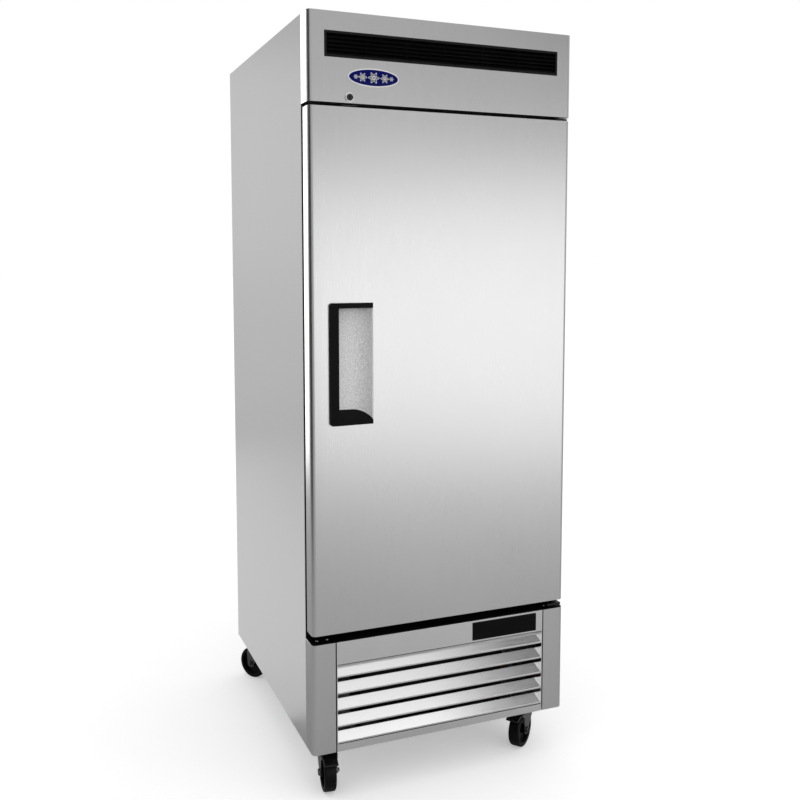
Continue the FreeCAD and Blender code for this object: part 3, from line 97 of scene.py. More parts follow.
softbox("door_box", (1.55, -3.4, 1.0), (0.0, -0.4, 1.05), 3.4, 1.75, 19.0)
softbox("left_box", (-2.0, 3.6, 1.5), (-0.36, 0.0, 1.1), 2.2, 2.6, 5.0)
front_group = bpy.data.collections.new("front_group")
side_group = bpy.data.collections.new("side_group")
louver_group = bpy.data.collections.new("louver_group")
scoop_group = bpy.data.collections.new("scoop_group")
softbox("edge_box", (-1.45, 3.4, 1.4), (-0.36, -0.42, 1.0), 2.2, 4.4, 55.0, front_group)
softbox("side_box", (-0.98, 2.2, 0.02), (-0.98, 2.2, 1.0), 1.7, 4.4, 8.5, side_group)
softbox("scoop_box", (-0.80, -2.2, 1.6), (-0.26, -0.41, 1.13), 0.5, 0.5, 6.0, scoop_group)
softbox("louver_box", (0.87, -3.0, 2.2), (0.0, -0.42, 0.28), 0.95, 0.5, 0.85, louver_group)
softbox("louver_strip", (1.42, -2.9, 2.2), (0.08, -0.42, 0.28), 0.10, 0.5, 0.30, louver_group)

card_paper = bpy.data.materials.new("card_paper")
card_paper.use_nodes = True
card_paper.node_tree.nodes["Principled BSDF"].inputs["Base Color"].default_value = (0.01, 0.01, 0.01, 1)


def dark_card(name, corners):
    """A black card that only reflections see, for dark edges in the polished steel."""
    card_mesh = bpy.data.meshes.new(name)
    card_mesh.from_pydata(corners, [], [(0, 1, 2, 3)])
    card_mesh.materials.append(card_paper)
    card = bpy.data.objects.new(name, card_mesh)
    card.visible_camera = False
    card.visible_shadow = False
    card.visible_diffuse = False
    scene.collection.objects.link(card)


dark_card("corner_card", [(-2.83, 0.20, 0), (-2.05, -2.30, 0), (-2.05, -2.30, 3.2), (-2.83, 0.20, 3.2)])
dark_card("louver_card", [(2.8, -5.0, 3.4), (5.4, -5.0, 3.4), (5.4, -4.2, 5.8), (2.8, -4.2, 5.8)])

overhead = bpy.data.lights.new("overhead_sun", "SUN")
overhead.angle = radians(100)
overhead.energy = 0.7
overhead_lamp = bpy.data.objects.new("overhead_sun", overhead)
overhead_lamp.rotation_euler = (radians(12), 0, 0)
scene.collection.objects.link(overhead_lamp)

floor_mesh = bpy.data.meshes.new("studio_floor")
FLOOR_HALF = 80.0
floor_mesh.from_pydata([(-FLOOR_HALF, -FLOOR_HALF, 0), (FLOOR_HALF, -FLOOR_HALF, 0),
                        (FLOOR_HALF, FLOOR_HALF, 0), (-FLOOR_HALF, FLOOR_HALF, 0)], [], [(0, 1, 2, 3)])
floor = bpy.data.objects.new("studio_floor", floor_mesh)
scene.collection.objects.link(floor)
floor_paper = bpy.data.materials.new("floor_paper")
floor_paper.use_nodes = True
paper = floor_paper.node_tree
paper_shader = paper.nodes["Principled BSDF"]
paper_shader.inputs["Roughness"].default_value = 0.9
paper_shader.inputs["Specular IOR Level"].default_value = 0.1
REFLECTED_TONE, SEEN_TONE, SEEN_GLOW = 0.55, 0.97, 0.35
paper_rays = paper.nodes.new("ShaderNodeLightPath")
paper_tone = paper.nodes.new("ShaderNodeMix")
paper_tone.data_type = "RGBA"
paper_tone.inputs["A"].default_value = (REFLECTED_TONE, REFLECTED_TONE, REFLECTED_TONE, 1)
paper_tone.inputs["B"].default_value = (SEEN_TONE, SEEN_TONE, SEEN_TONE, 1)
paper.links.new(paper_rays.outputs["Is Camera Ray"], paper_tone.inputs["Factor"])
paper.links.new(paper_tone.outputs["Result"], paper_shader.inputs["Base Color"])
glow = paper.nodes.new("ShaderNodeMath")
glow.operation = "MULTIPLY"
glow.inputs[1].default_value = SEEN_GLOW
paper.links.new(paper_rays.outputs["Is Camera Ray"], glow.inputs[0])
paper_shader.inputs["Emission Color"].default_value = (1, 1, 1, 1)
paper.links.new(glow.outputs["Value"], paper_shader.inputs["Emission Strength"])
floor_mesh.materials.append(floor_paper)


# ---------------------------------------------------------------- cabinet shell: sides, top and back
# Brake-formed sheets wrapped round the foam: stainless on the sides and top, galvanised on the back.
# The sides turn a narrow flange round the front corner, and the back is riveted on along its edges.
def new_finish(name, colour, roughness, metallic=0.0):
    """An empty finish: its shader, its node tree, and the object coordinates that patterns read."""
    finish = bpy.data.materials.new(name)
    finish.use_nodes = True
    tree = finish.node_tree
    shader = tree.nodes["Principled BSDF"]
    shader.inputs["Base Color"].default_value = (*colour, 1)
    shader.inputs["Roughness"].default_value = roughness
    shader.inputs["Metallic"].default_value = metallic
    place = tree.nodes.new("ShaderNodeTexCoord").outputs["Object"]
    return finish, tree, shader, place


def pattern(tree, place, stretch, size, detail=3.0):
    """Noise whose grain is longer along the axes with a small stretch."""
    mapping = tree.nodes.new("ShaderNodeMapping")
    mapping.inputs["Scale"].default_value = stretch
    tree.links.new(place, mapping.inputs["Vector"])
    noise = tree.nodes.new("ShaderNodeTexNoise")
    noise.inputs["Scale"].default_value = size
    noise.inputs["Detail"].default_value = detail
    tree.links.new(mapping.outputs["Vector"], noise.inputs["Vector"])
    return noise.outputs["Fac"]


def spread(tree, value, low, high):
    """The pattern's middle range as a number from low to high."""
    ranged = tree.nodes.new("ShaderNodeMapRange")
    ranged.inputs["From Min"].default_value = 0.3
    ranged.inputs["From Max"].default_value = 0.7
    ranged.inputs["To Min"].default_value = low
    ranged.inputs["To Max"].default_value = high
    tree.links.new(value, ranged.inputs["Value"])
    return ranged.outputs["Result"]


def two_tone(tree, value, first, second, socket):
    """The surface's colour, wandering between two tones with the pattern."""
    mixed = tree.nodes.new("ShaderNodeMix")
    mixed.data_type = "RGBA"
    mixed.inputs["A"].default_value = (*first, 1)
    mixed.inputs["B"].default_value = (*second, 1)
    tree.links.new(spread(tree, value, 0, 1), mixed.inputs["Factor"])
    tree.links.new(mixed.outputs["Result"], socket)


def relief(tree, value, depth, strength, shader):
    """Fine relief from the pattern, on the shader's normal."""
    bump = tree.nodes.new("ShaderNodeBump")
    bump.inputs["Distance"].default_value = depth
    bump.inputs["Strength"].default_value = strength
    tree.links.new(value, bump.inputs["Height"])
    tree.links.new(bump.outputs["Normal"], shader.inputs["Normal"])


def brushed(name, tone, roughness, stretch, streak=0.05, grain=900.0, depth=0.00002):
    """Sheet steel with a belt-ground grain that runs along one axis, and faint handling marks."""
    finish, tree, shader, place = new_finish(name, (tone, tone, tone), roughness, 1.0)
    lines = pattern(tree, place, stretch, grain, 2.0)
    smudge = pattern(tree, place, (1, 1, 1), 3.5, 2.0)
    blend = tree.nodes.new("ShaderNodeMath")
    blend.operation = "MULTIPLY_ADD"
    blend.inputs[1].default_value = 0.65
    tree.links.new(lines, blend.inputs[0])
    quarter = tree.nodes.new("ShaderNodeMath")
    quarter.operation = "MULTIPLY"
    quarter.inputs[1].default_value = 0.35
    tree.links.new(smudge, quarter.inputs[0])
    tree.links.new(quarter.outputs["Value"], blend.inputs[2])
    mixed = blend.outputs["Value"]
    dark, light = tone * (1 - streak), tone * (1 + streak)
    two_tone(tree, mixed, (dark, dark, dark), (light, light, light * 1.004), shader.inputs["Base Color"])
    tree.links.new(spread(tree, mixed, roughness - 0.035, roughness + 0.035), shader.inputs["Roughness"])
    relief(tree, lines, depth, 0.35, shader)
    return finish


def galvanised(name):
    """Zinc-coated sheet with its frosty crystal spangle."""
    finish, tree, shader, place = new_finish(name, (0.5, 0.52, 0.53), 0.45, 1.0)
    cells = tree.nodes.new("ShaderNodeTexVoronoi")
    cells.inputs["Scale"].default_value = 120.0
    tree.links.new(place, cells.inputs["Vector"])
    shade = tree.nodes.new("ShaderNodeSeparateColor")
    tree.links.new(cells.outputs["Color"], shade.inputs["Color"])
    dull, bright = (0.49, 0.505, 0.51), (0.56, 0.575, 0.58)
    two_tone(tree, shade.outputs["Red"], dull, bright, shader.inputs["Base Color"])
    tree.links.new(spread(tree, shade.outputs["Green"], 0.40, 0.48), shader.inputs["Roughness"])
    return finish


def piece_of(name, mesh, finish, body="cabinet"):
    """A mesh as a piece of the object: it stands in the row frame and rides its body."""
    mesh.materials.clear()
    mesh.materials.append(finish)
    piece = bpy.data.objects.new(name, mesh)
    scene.collection.objects.link(piece)
    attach(piece, body)
    return piece


def shade(mesh, sharp=30):
    """Smooth shading with its sharp edges kept."""
    mesh.polygons.foreach_set("use_smooth", [True] * len(mesh.polygons))
    mesh.set_sharp_from_angle(angle=radians(sharp))


def node_body(node):
    """The body that a sub-part rides on."""
    return next(body for body, nodes in frame["record"]["behaviour"]["bodies"].items() if node in nodes)


def eased(node, width, finish, segments=2, sharp=30):
    """The sub-part as one welded skin, with its arrises eased by that width, in place of the plain solid."""
    mesh = frame["nodes"][node].data.copy()
    mesh.name = node + "_skin"
    work = bmesh.new()
    work.from_mesh(mesh)
    bmesh.ops.remove_doubles(work, verts=work.verts, dist=1e-6)
    bmesh.ops.dissolve_limit(work, angle_limit=radians(0.4), verts=work.verts, edges=work.edges)
    work.to_mesh(mesh)
    work.free()
    shade(mesh, sharp)
    piece = piece_of(node + "_finished", mesh, finish, node_body(node))
    if width:
        bevel = piece.modifiers.new("eased_edges", "BEVEL")
        bevel.width = width
        bevel.segments = segments
        bevel.limit_method = "ANGLE"
        bevel.angle_limit = radians(sharp)
        bevel.use_clamp_overlap = False
        bevel.harden_normals = True
    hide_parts(node)
    return piece


def dress(node, finish):
    """The sub-part keeps its own solid and takes the finish."""
    for material_slot in frame["nodes"][node].material_slots:
        material_slot.material = finish


cabinet_steel = brushed("cabinet_steel_finish", 0.72, 0.36, (1, 0.02, 1), streak=0.03)
for side in ("side_panel_left", "side_panel_right", "top_panel"):
    side_group.objects.link(eased(side, 0.0005, cabinet_steel))

zinc_sheet = galvanised("galvanised_sheet_finish")
for sheet in ("rear_panel", "machine_deck"):
    dress(sheet, zinc_sheet)


def bare_mesh(name, build):
    """A mesh made by one function that fills a bmesh."""
    mesh = bpy.data.meshes.new(name)
    work = bmesh.new()
    build(work)
    bmesh.ops.recalc_face_normals(work, faces=work.faces)
    work.to_mesh(mesh)
    work.free()
    return mesh


def turned_mesh(name, outline, sides=24):
    """A closed shape turned about Z from (radius, height) points that start and end on the axis."""
    def build(work):
        rings = []
        for radius, height in outline:
            if radius == 0:
                rings.append([work.verts.new((0, 0, height))])
                continue
            rings.append([work.verts.new((radius * cos(2 * pi * i / sides), radius * sin(2 * pi * i / sides),
                                          height)) for i in range(sides)])
        for lower, upper in zip(rings, rings[1:]):
            for i in range(sides):
                corners = [lower[i % len(lower)], lower[(i + 1) % len(lower)],
                           upper[(i + 1) % len(upper)], upper[i % len(upper)]]
                work.faces.new(list(dict.fromkeys(corners)))
    mesh = bare_mesh(name, build)
    shade(mesh)
    return mesh


def socket(tree, name, kind, value=None):
    """A named input of a geometry tree."""
    made = tree.interface.new_socket(name, in_out="INPUT", socket_type="NodeSocket" + kind)
    if value is not None:
        made.default_value = value
    return made.identifier


def repeat_tree(name, in_row):
    """Sets one piece at every point: along a row with a start, a step and a count, or on the given points."""
    tree = bpy.data.node_groups.new(name, "GeometryNodeTree")
    tree.interface.new_socket("Geometry", in_out="OUTPUT", socket_type="NodeSocketGeometry")
    tree.interface.new_socket("Geometry", in_out="INPUT", socket_type="NodeSocketGeometry")
    socket(tree, "Piece", "Object")
    socket(tree, "Turn", "Vector")
    socket(tree, "Finish", "Material")
    nodes, links = tree.nodes, tree.links
    given = nodes.new("NodeGroupInput")
    points = given.outputs["Geometry"]
    if in_row:
        socket(tree, "Start", "Vector")
        socket(tree, "Step", "Vector")
        socket(tree, "Count", "Int", 1)
        line = nodes.new("GeometryNodeMeshLine")
        line.mode = "OFFSET"
        for theirs, ours in (("Count", "Count"), ("Start Location", "Start"), ("Offset", "Step")):
            links.new(given.outputs[ours], line.inputs[theirs])
        points = line.outputs["Mesh"]
    source = nodes.new("GeometryNodeObjectInfo")
    links.new(given.outputs["Piece"], source.inputs["Object"])
    turn = nodes.new("FunctionNodeEulerToRotation")
    links.new(given.outputs["Turn"], turn.inputs["Euler"])
    place = nodes.new("GeometryNodeInstanceOnPoints")
    links.new(points, place.inputs["Points"])
    links.new(source.outputs["Geometry"], place.inputs["Instance"])
    links.new(turn.outputs["Rotation"], place.inputs["Rotation"])
    real = nodes.new("GeometryNodeRealizeInstances")
    links.new(place.outputs["Instances"], real.inputs["Geometry"])
    paint = nodes.new("GeometryNodeSetMaterial")
    links.new(real.outputs["Geometry"], paint.inputs["Geometry"])
    links.new(given.outputs["Finish"], paint.inputs["Material"])
    result = nodes.new("NodeGroupOutput")
    links.new(paint.outputs["Geometry"], result.inputs["Geometry"])
    return tree


def grown(name, tree, values, finish, body="cabinet", points=()):
    """Runs a geometry tree with these inputs on an object that holds the points, and keeps the plain mesh."""
    seed = bpy.data.meshes.new(name + "_points")
    seed.from_pydata([tuple(p) for p in points], [], [])
    grower = bpy.data.objects.new(name + "_grower", seed)
    scene.collection.objects.link(grower)
    modifier = grower.modifiers.new("grown", "NODES")
    modifier.node_group = tree
    sockets = {item.name: item.identifier for item in tree.interface.items_tree if item.in_out == "INPUT"}
    for key, value in values.items():
        modifier[sockets[key]] = value
    modifier[sockets["Finish"]] = finish
    bpy.context.view_layer.update()
    evaluated = grower.evaluated_get(bpy.context.evaluated_depsgraph_get())
    mesh = bpy.data.meshes.new_from_object(evaluated)
    grower.modifiers.clear()
    bpy.data.objects.remove(grower)
    return piece_of(name, mesh, finish, body)


def master(name, mesh):
    """One piece to be repeated. It isn't in the scene itself."""
    return bpy.data.objects.new(name, mesh)


in_row = repeat_tree("pieces_in_a_row", True)
on_points = repeat_tree("pieces_on_points", False)
SCREW_R = 0.0042
pan_head = master("pan_head_screw", turned_mesh("pan_head_screw", [
    (0, 0.0010), (0.0009, 0.0010), (0.0011, 0.0021), (0.0026, 0.0019), (0.0038, 0.0011), (SCREW_R, 0.0003),
    (SCREW_R, -0.0004), (0, -0.0004)], 16))
flat_rivet = master("flat_rivet", turned_mesh("flat_rivet", [
    (0, -0.0002), (0.0012, -0.0002), (0.0014, 0.0003), (0.0036, 0.0003), (SCREW_R, 0.0001),
    (SCREW_R, -0.0006), (0, -0.0006)], 16))
FACING = {"front": (pi / 2, 0, 0), "back": (-pi / 2, 0, 0), "up": (0, 0, 0), "down": (pi, 0, 0),
          "left": (0, -pi / 2, 0), "right": (0, pi / 2, 0)}
screw_zinc = brushed("screw_zinc_finish", 0.55, 0.30, (1, 1, 1), grain=400.0)


def screws(name, places, facing, body="cabinet", head=pan_head):
    """One screw or rivet head at each of these places, facing that way, as one piece."""
    piece = grown(name, on_points, {"Piece": head, "Turn": FACING[facing]}, screw_zinc, body, places)
    shade(piece.data)
    return piece


rear_low, rear_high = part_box("rear_panel")
RIVET_MARGIN = 0.03
RIVET_IN = 0.012
RIVET_ROWS = 8
rivet_step = (rear_high.z - rear_low.z - 2 * RIVET_MARGIN) / (RIVET_ROWS - 1)
rear_rivets = [(x, rear_high.y, rear_low.z + RIVET_MARGIN + rivet_step * i)
               for x in (rear_low.x + RIVET_IN, rear_high.x - RIVET_IN) for i in range(RIVET_ROWS)]
screws("rear_panel_rivets", rear_rivets, "back", head=flat_rivet)


# ---------------------------------------------------------------- inner shell: foam, liner and face frame
# Poured polyurethane fills the wall between the skins and a folded aluminium liner. A frame closes the foam
# at the front, its satin black painted shade for the dark gap round the door, and a plastic breaker strip
# snaps in between it and the liner.
def moulded(name, colour, roughness, grain=900.0, depth=0.00003, sheen=0.5):
    """Moulded plastic, rubber or paint with a fine skin texture."""
    finish, tree, shader, place = new_finish(name, colour, roughness)
    shader.inputs["Specular IOR Level"].default_value = sheen
    skin_grain = pattern(tree, place, (1, 1, 1), grain, 3.0)
    cloud = pattern(tree, place, (1, 1, 1), 14.0, 2.0)
    darker = tuple(0.86 * part for part in colour)
    lighter = tuple(min(1.0, 1.10 * part) for part in colour)
    two_tone(tree, cloud, darker, lighter, shader.inputs["Base Color"])
    tree.links.new(spread(tree, cloud, roughness - 0.04, roughness + 0.04), shader.inputs["Roughness"])
    relief(tree, skin_grain, depth, 0.5, shader)
    return finish


insulation = moulded("poured_foam_finish", (0.78, 0.68, 0.44), 0.9, grain=260.0, depth=0.0006, sheen=0.2)
satin_black = moulded("satin_black_paint", (0.004, 0.004, 0.0042), 0.42, grain=1400.0, sheen=0.12)
black_plastic = moulded("black_plastic_finish", (0.003, 0.003, 0.0033), 0.40, sheen=0.08)
liner_sheet = brushed("liner_aluminium_finish", 0.78, 0.33, (1, 1, 0.03), streak=0.03)
dress("cabinet_foam", insulation)
dress("inner_liner", liner_sheet)
# painted shade: the face frame takes black paint so that the gap round the door reads dark
dress("face_frame", satin_black)
eased("breaker_frame", 0.0008, moulded("breaker_plastic_finish", (0.30, 0.31, 0.32), 0.45))

# ---------------------------------------------------------------- header: panel, air grille, badge and lock
# A folded stainless panel with rounded corners carries a black slatted grille, an enamelled oval badge
# and a cam lock. The belt-ground grain runs up and down, as on the door and the base posts.
front_steel = brushed("front_steel_finish", 0.66, 0.30, (1, 1, 0.02), streak=0.02, depth=0.00001)
front_group.objects.link(eased("header_panel", 0.0004, front_steel))


def framed_mesh(name, low, high, section, corner=0.0, steps=0):
    """A closed section of (inward, y) points carried round an upright rectangle, mitred or round-cornered."""
    centre = (low + high) / 2
    half_x, half_z = (high.x - low.x) / 2, (high.z - low.z) / 2

    def build(work):
        rings = []
        for inward, y in section:
            bend = max(corner - inward, 0.0)
            ring = []
            for quarter, (side_x, side_z) in enumerate(((1, 1), (-1, 1), (-1, -1), (1, -1))):
                for step in range(steps + 1):
                    angle = pi / 2 * (quarter + (step / steps if steps else 0.5))
                    ring.append(work.verts.new((
                        centre.x + side_x * (half_x - inward - bend) + bend * cos(angle), y,
                        centre.z + side_z * (half_z - inward - bend) + bend * sin(angle))))
            rings.append(ring)
        for ring, after in zip(rings, rings[1:] + rings[:1]):
            for i in range(len(ring)):
                j = (i + 1) % len(ring)
                work.faces.new((ring[i], ring[j], after[j], after[i]))
    mesh = bare_mesh(name, build)
    shade(mesh)
    return mesh


def bar_mesh(name, section, low, high, axis="X"):
    """A straight bar of one closed section between two places along an axis, with capped ends."""
    def build(work):
        ends = []
        for along in (low, high):
            ends.append([work.verts.new((along, a, b) if axis == "X" else (a, along, b) if axis == "Y"
                                        else (a, b, along)) for a, b in section])
        for i in range(len(section)):
            j = (i + 1) % len(section)
            work.faces.new((ends[0][i], ends[0][j], ends[1][j], ends[1][i]))
        work.faces.new(ends[0])
        work.faces.new(list(reversed(ends[1])))
    mesh = bare_mesh(name, build)
    shade(mesh)
    return mesh


grille_low, grille_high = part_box("header_grille")
GRILLE_RIM = 0.006
grille_black = moulded("grille_plastic_finish", (0.006, 0.006, 0.006), 0.34, sheen=0.2)
grille_front, grille_back = grille_low.y, grille_high.y
grille_frame = piece_of("header_grille_frame", framed_mesh("header_grille_frame", grille_low, grille_high, [
    (0.0, grille_front + 0.0008), (0.0008, grille_front), (GRILLE_RIM - 0.0008, grille_front),
    (GRILLE_RIM, grille_front + 0.0008), (GRILLE_RIM, grille_back), (0.0, grille_back)]), grille_black)
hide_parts("header_grille")

SLATS = 5
SLAT_PITCH = 0.0096
slat_reach = (grille_high.x - grille_low.x) / 2 - GRILLE_RIM + 0.0005
slat = master("header_slat", bar_mesh("header_slat", [
    (0.0012, -0.0002), (0.0020, -0.0008), (0.0032, -0.0004), (0.0112, 0.0066), (0.0114, 0.0078),
    (0.0100, 0.0076), (0.0020, 0.0006)], -slat_reach, slat_reach))
header_slats = grown("header_grille_slats", in_row, {
    "Piece": slat, "Turn": (0, 0, 0), "Start": (0, grille_front, grille_low.z + GRILLE_RIM + 0.0014),
    "Step": (0, 0, SLAT_PITCH), "Count": SLATS}, grille_black)
shade(header_slats.data)

RIBS = 5
rib_step = 2 * slat_reach / (RIBS + 1)
rib = master("header_rib", bar_mesh("header_rib", [
    (-0.0009, 0.0085), (0.0009, 0.0085), (0.0009, 0.0120), (-0.0009, 0.0120)],
    grille_low.z + GRILLE_RIM - 0.0005, grille_high.z - GRILLE_RIM + 0.0005, "Z"))
header_ribs = grown("header_grille_ribs", in_row, {
    "Piece": rib, "Turn": (0, 0, 0), "Start": (rib_step - slat_reach, grille_front, 0),
    "Step": (rib_step, 0, 0), "Count": RIBS}, grille_black)
shade(header_ribs.data)


def put(mesh, place, facing="up", stretch=(1, 1, 1)):
    """Stands a mesh that was made about its own Z at its place, facing that way."""
    mesh.transform(Matrix.Diagonal((*stretch, 1)))
    mesh.transform(Matrix.Translation(place) @ Euler(FACING[facing]).to_matrix().to_4x4())
    return mesh


badge_low, badge_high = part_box("badge_plate")
badge_at = Vector(((badge_low.x + badge_high.x) / 2, badge_high.y, (badge_low.z + badge_high.z) / 2))
badge_half = ((badge_high.x - badge_low.x) / 2, (badge_high.z - badge_low.z) / 2, 1)
BADGE_SIDES = 72
white_enamel = moulded("white_enamel_finish", (0.97, 0.97, 0.97), 0.22, grain=200.0, depth=0.00001)
navy_enamel = moulded("navy_enamel_finish", (0.001, 0.004, 0.13), 0.24, grain=200.0, depth=0.00001,
                      sheen=0.08)
BADGE_EDGE = 0.0032
badge_rim = piece_of("badge_rim", put(turned_mesh("badge_rim", [
    (0, 0.0), (1.0, 0.0), (1.0, 0.0010), (0.992, 0.0016), (0.97, 0.0018), (0, 0.0018)],
    BADGE_SIDES), badge_at, "front", badge_half), white_enamel)
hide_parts("badge_plate")
field_half = (badge_half[0] - BADGE_EDGE, badge_half[1] - BADGE_EDGE, 1)
badge_field = piece_of("badge_field", put(turned_mesh("badge_field", [
    (0, 0.0012), (1.0, 0.0012), (1.0, 0.0020), (0.98, 0.0022), (0.5, 0.0023), (0, 0.0023)],
    BADGE_SIDES), badge_at, "front", field_half), navy_enamel)


def crystal_mesh(name, reach, bar):
    """A snow crystal of six barbed arms, lying flat and crowned a little."""
    def build(work):
        def stroke(start, end):
            along = (end - start).normalized() * bar
            across = Vector((-along.y, along.x, 0))
            outline = [start + across, end - along + across, end, end - along - across, start - across]
            floor_ring = [work.verts.new(point) for point in outline]
            top_ring = [work.verts.new(point * 0.985 + Vector((0, 0, 0.0004))) for point in outline]
            for i in range(len(outline)):
                j = (i + 1) % len(outline)
                work.faces.new((floor_ring[i], floor_ring[j], top_ring[j], top_ring[i]))
            work.faces.new(top_ring)
            work.faces.new(list(reversed(floor_ring)))
        for arm in range(6):
            turn = Matrix.Rotation(pi / 3 * arm, 3, "Z")
            stroke(turn @ Vector((bar, 0, 0)), turn @ Vector((reach, 0, 0)))
            for share, length in ((0.42, 0.30), (0.66, 0.24)):
                root = turn @ Vector((reach * share, 0, 0))
                for side in (-1, 1):
                    barb = Matrix.Rotation(pi / 3 * side, 3, "Z") @ (turn @ Vector((reach * length, 0, 0)))
                    stroke(root, root + barb)
    return bare_mesh(name, build)


CRYSTALS = {"middle": (0.0, 0.0150), "left": (-0.0290, 0.0118), "right": (0.0290, 0.0118),
            "outer_left": (-0.0465, 0.0062), "outer_right": (0.0465, 0.0062)}
for crystal, (away, reach) in CRYSTALS.items():
    piece_of("badge_crystal_" + crystal, put(crystal_mesh("badge_crystal_" + crystal, reach, reach * 0.12),
             badge_at + Vector((away, -0.0022, 0)), "front"), white_enamel)

lock_chrome = brushed("lock_chrome_finish", 0.90, 0.12, (1, 1, 1), streak=0.03, grain=500.0)
# painted shade: the plug is near-black so that the lock shows a dark centre, though the plug itself is chrome
plug_painted_shade = brushed("lock_plug_shade_finish", 0.06, 0.26, (1, 1, 1), streak=0.08, grain=500.0)
eased("lock_body", 0.0009, lock_chrome, 3)
eased("lock_plug", 0.0003, plug_painted_shade)

# ---------------------------------------------------------------- base: pan, posts, louver panel, controller
# The machine bay stands on a galvanised pan. Two stainless posts and a one-piece louvered panel close
# its front, a black sill covers the top of the bay under the door, and a punched cover closes the rear. The
# sill's black is partly painted shade for the dark band under the door.
dress("base_pan", zinc_sheet)
for post in ("base_post_left", "base_post_right"):
    front_group.objects.link(eased(post, 0.0004, front_steel))
# painted shade: the sill's black plate makes the band under the door dark, standing in partly for the shade
# in that gap
eased("base_sill", 0.0005, satin_black)
sill_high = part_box("base_sill")[1]
SILL_SCREW_X = (-0.345, -0.318, 0.318)
SILL_SCREW_Y = -0.4005
sill_screws = [(x, SILL_SCREW_Y, sill_high.z) for x in SILL_SCREW_X]
screws("base_sill_screws", sill_screws, "up")

louver_steel = brushed("louver_steel_finish", 0.84, 0.21, (0.02, 1, 1), streak=0.04)
louver_group.objects.link(eased("louver_panel", 0.0003, louver_steel))

gloss_black = moulded("gloss_black_finish", (0.0025, 0.0025, 0.003), 0.14, grain=300.0, depth=0.00001,
                      sheen=0.12)
screen_black = moulded("screen_black_finish", (0.004, 0.004, 0.0042), 0.30, grain=700.0, sheen=0.08)
eased("controller_case", 0.0009, gloss_black, 3)
ctrl_low, ctrl_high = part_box("controller_case")
SCREEN_IN = 0.005
SCREEN_PROUD = 0.0004
screen_inset = Vector((SCREEN_IN, 0, SCREEN_IN))
screen_middle = (ctrl_high.z - ctrl_low.z) / 2 - SCREEN_IN - 0.0001
screen_face, screen_back = ctrl_low.y - SCREEN_PROUD, ctrl_low.y + 0.0004
screen = piece_of("controller_screen", framed_mesh(
    "controller_screen", ctrl_low + screen_inset, ctrl_high - screen_inset, [
        (0.0, screen_back), (0.0004, screen_face), (screen_middle, screen_face),
        (screen_middle, screen_back)], 0.003, 4), screen_black)

dress("rear_grille", zinc_sheet)
cover_low, cover_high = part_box("rear_grille")
COVER_RIVET_IN = 0.014
cover_rivets = [(x, cover_high.y, z) for x in (cover_low.x + RIVET_IN, 0.0, cover_high.x - RIVET_IN)
                for z in (cover_low.z + COVER_RIVET_IN, cover_high.z - COVER_RIVET_IN)]
screws("rear_grille_rivets", cover_rivets, "back", head=flat_rivet)
eased("cord_gland", 0.0006, black_plastic)

# ---------------------------------------------------------------- condensing unit in the machine bay
# A coil with dark-coated fins stands behind the louvers; their near-black tone is also painted shade, for the
# darkness of the bay seen through the louvers. Its shroud, a fan on a four-bolt motor bracket, a hermetic
# compressor on rubber feet and the evaporating pan are fixed to the base pan behind it.
WAVE_LENGTH = 0.314


def finned(name, pitch, tone):
    """Thin fins across the tubes: fine light and dark lines at the fin pitch; the dark lines are painted
    shade in the gaps between the fins.
    """
    finish, tree, shader, place = new_finish(name, (tone, tone, tone), 0.38, 1.0)
    fins = tree.nodes.new("ShaderNodeTexWave")
    fins.wave_type = "BANDS"
    fins.bands_direction = "X"
    fins.inputs["Scale"].default_value = WAVE_LENGTH / pitch
    tree.links.new(place, fins.inputs["Vector"])
    dents = pattern(tree, place, (1, 1, 0.3), 40.0, 2.0)
    # painted shade: the colour drops to this dark tone in the gap between each pair of fins
    fin_gap_shade = tone * 0.15
    dark, light = (fin_gap_shade, fin_gap_shade, fin_gap_shade), (tone, tone, tone)
    two_tone(tree, fins.outputs["Fac"], dark, light, shader.inputs["Base Color"])
    tree.links.new(spread(tree, dents, 0.30, 0.48), shader.inputs["Roughness"])
    relief(tree, fins.outputs["Fac"], 0.0008, 0.7, shader)
    return finish


# painted shade: the condenser fins' near-black tone stands partly for a black coating and partly for the
# shade in the bay behind the louvers
dress("condenser_coil", finned("condenser_fin_finish", 0.0022, 0.025))
dark_paint = moulded("bay_black_paint", (0.014, 0.014, 0.015), 0.34, grain=500.0)
motor_paint = moulded("motor_grey_paint", (0.09, 0.09, 0.095), 0.40, grain=500.0)
fan_sheet = brushed("fan_aluminium_finish", 0.66, 0.34, (1, 1, 1), grain=300.0)
eased("condenser_shroud", 0.0004, dark_paint)
eased("condenser_fan_blade", 0.0004, fan_sheet)
eased("condenser_fan_motor", 0.0008, motor_paint)
eased("compressor", 0.0015, dark_paint, 3, 35)
eased("condensate_pan", 0.0006, moulded("pan_plastic_finish", (0.33, 0.34, 0.35), 0.5))
copper_tube = brushed("copper_tube_finish", 0.7, 0.30, (1, 1, 1), grain=200.0)
for node_of_copper in copper_tube.node_tree.nodes:
    if node_of_copper.bl_idname == "ShaderNodeMix":
        node_of_copper.inputs["A"].default_value = (0.60, 0.27, 0.14, 1)
        node_of_copper.inputs["B"].default_value = (0.78, 0.40, 0.24, 1)
eased("refrigerant_lines", 0.0, copper_tube, sharp=40)

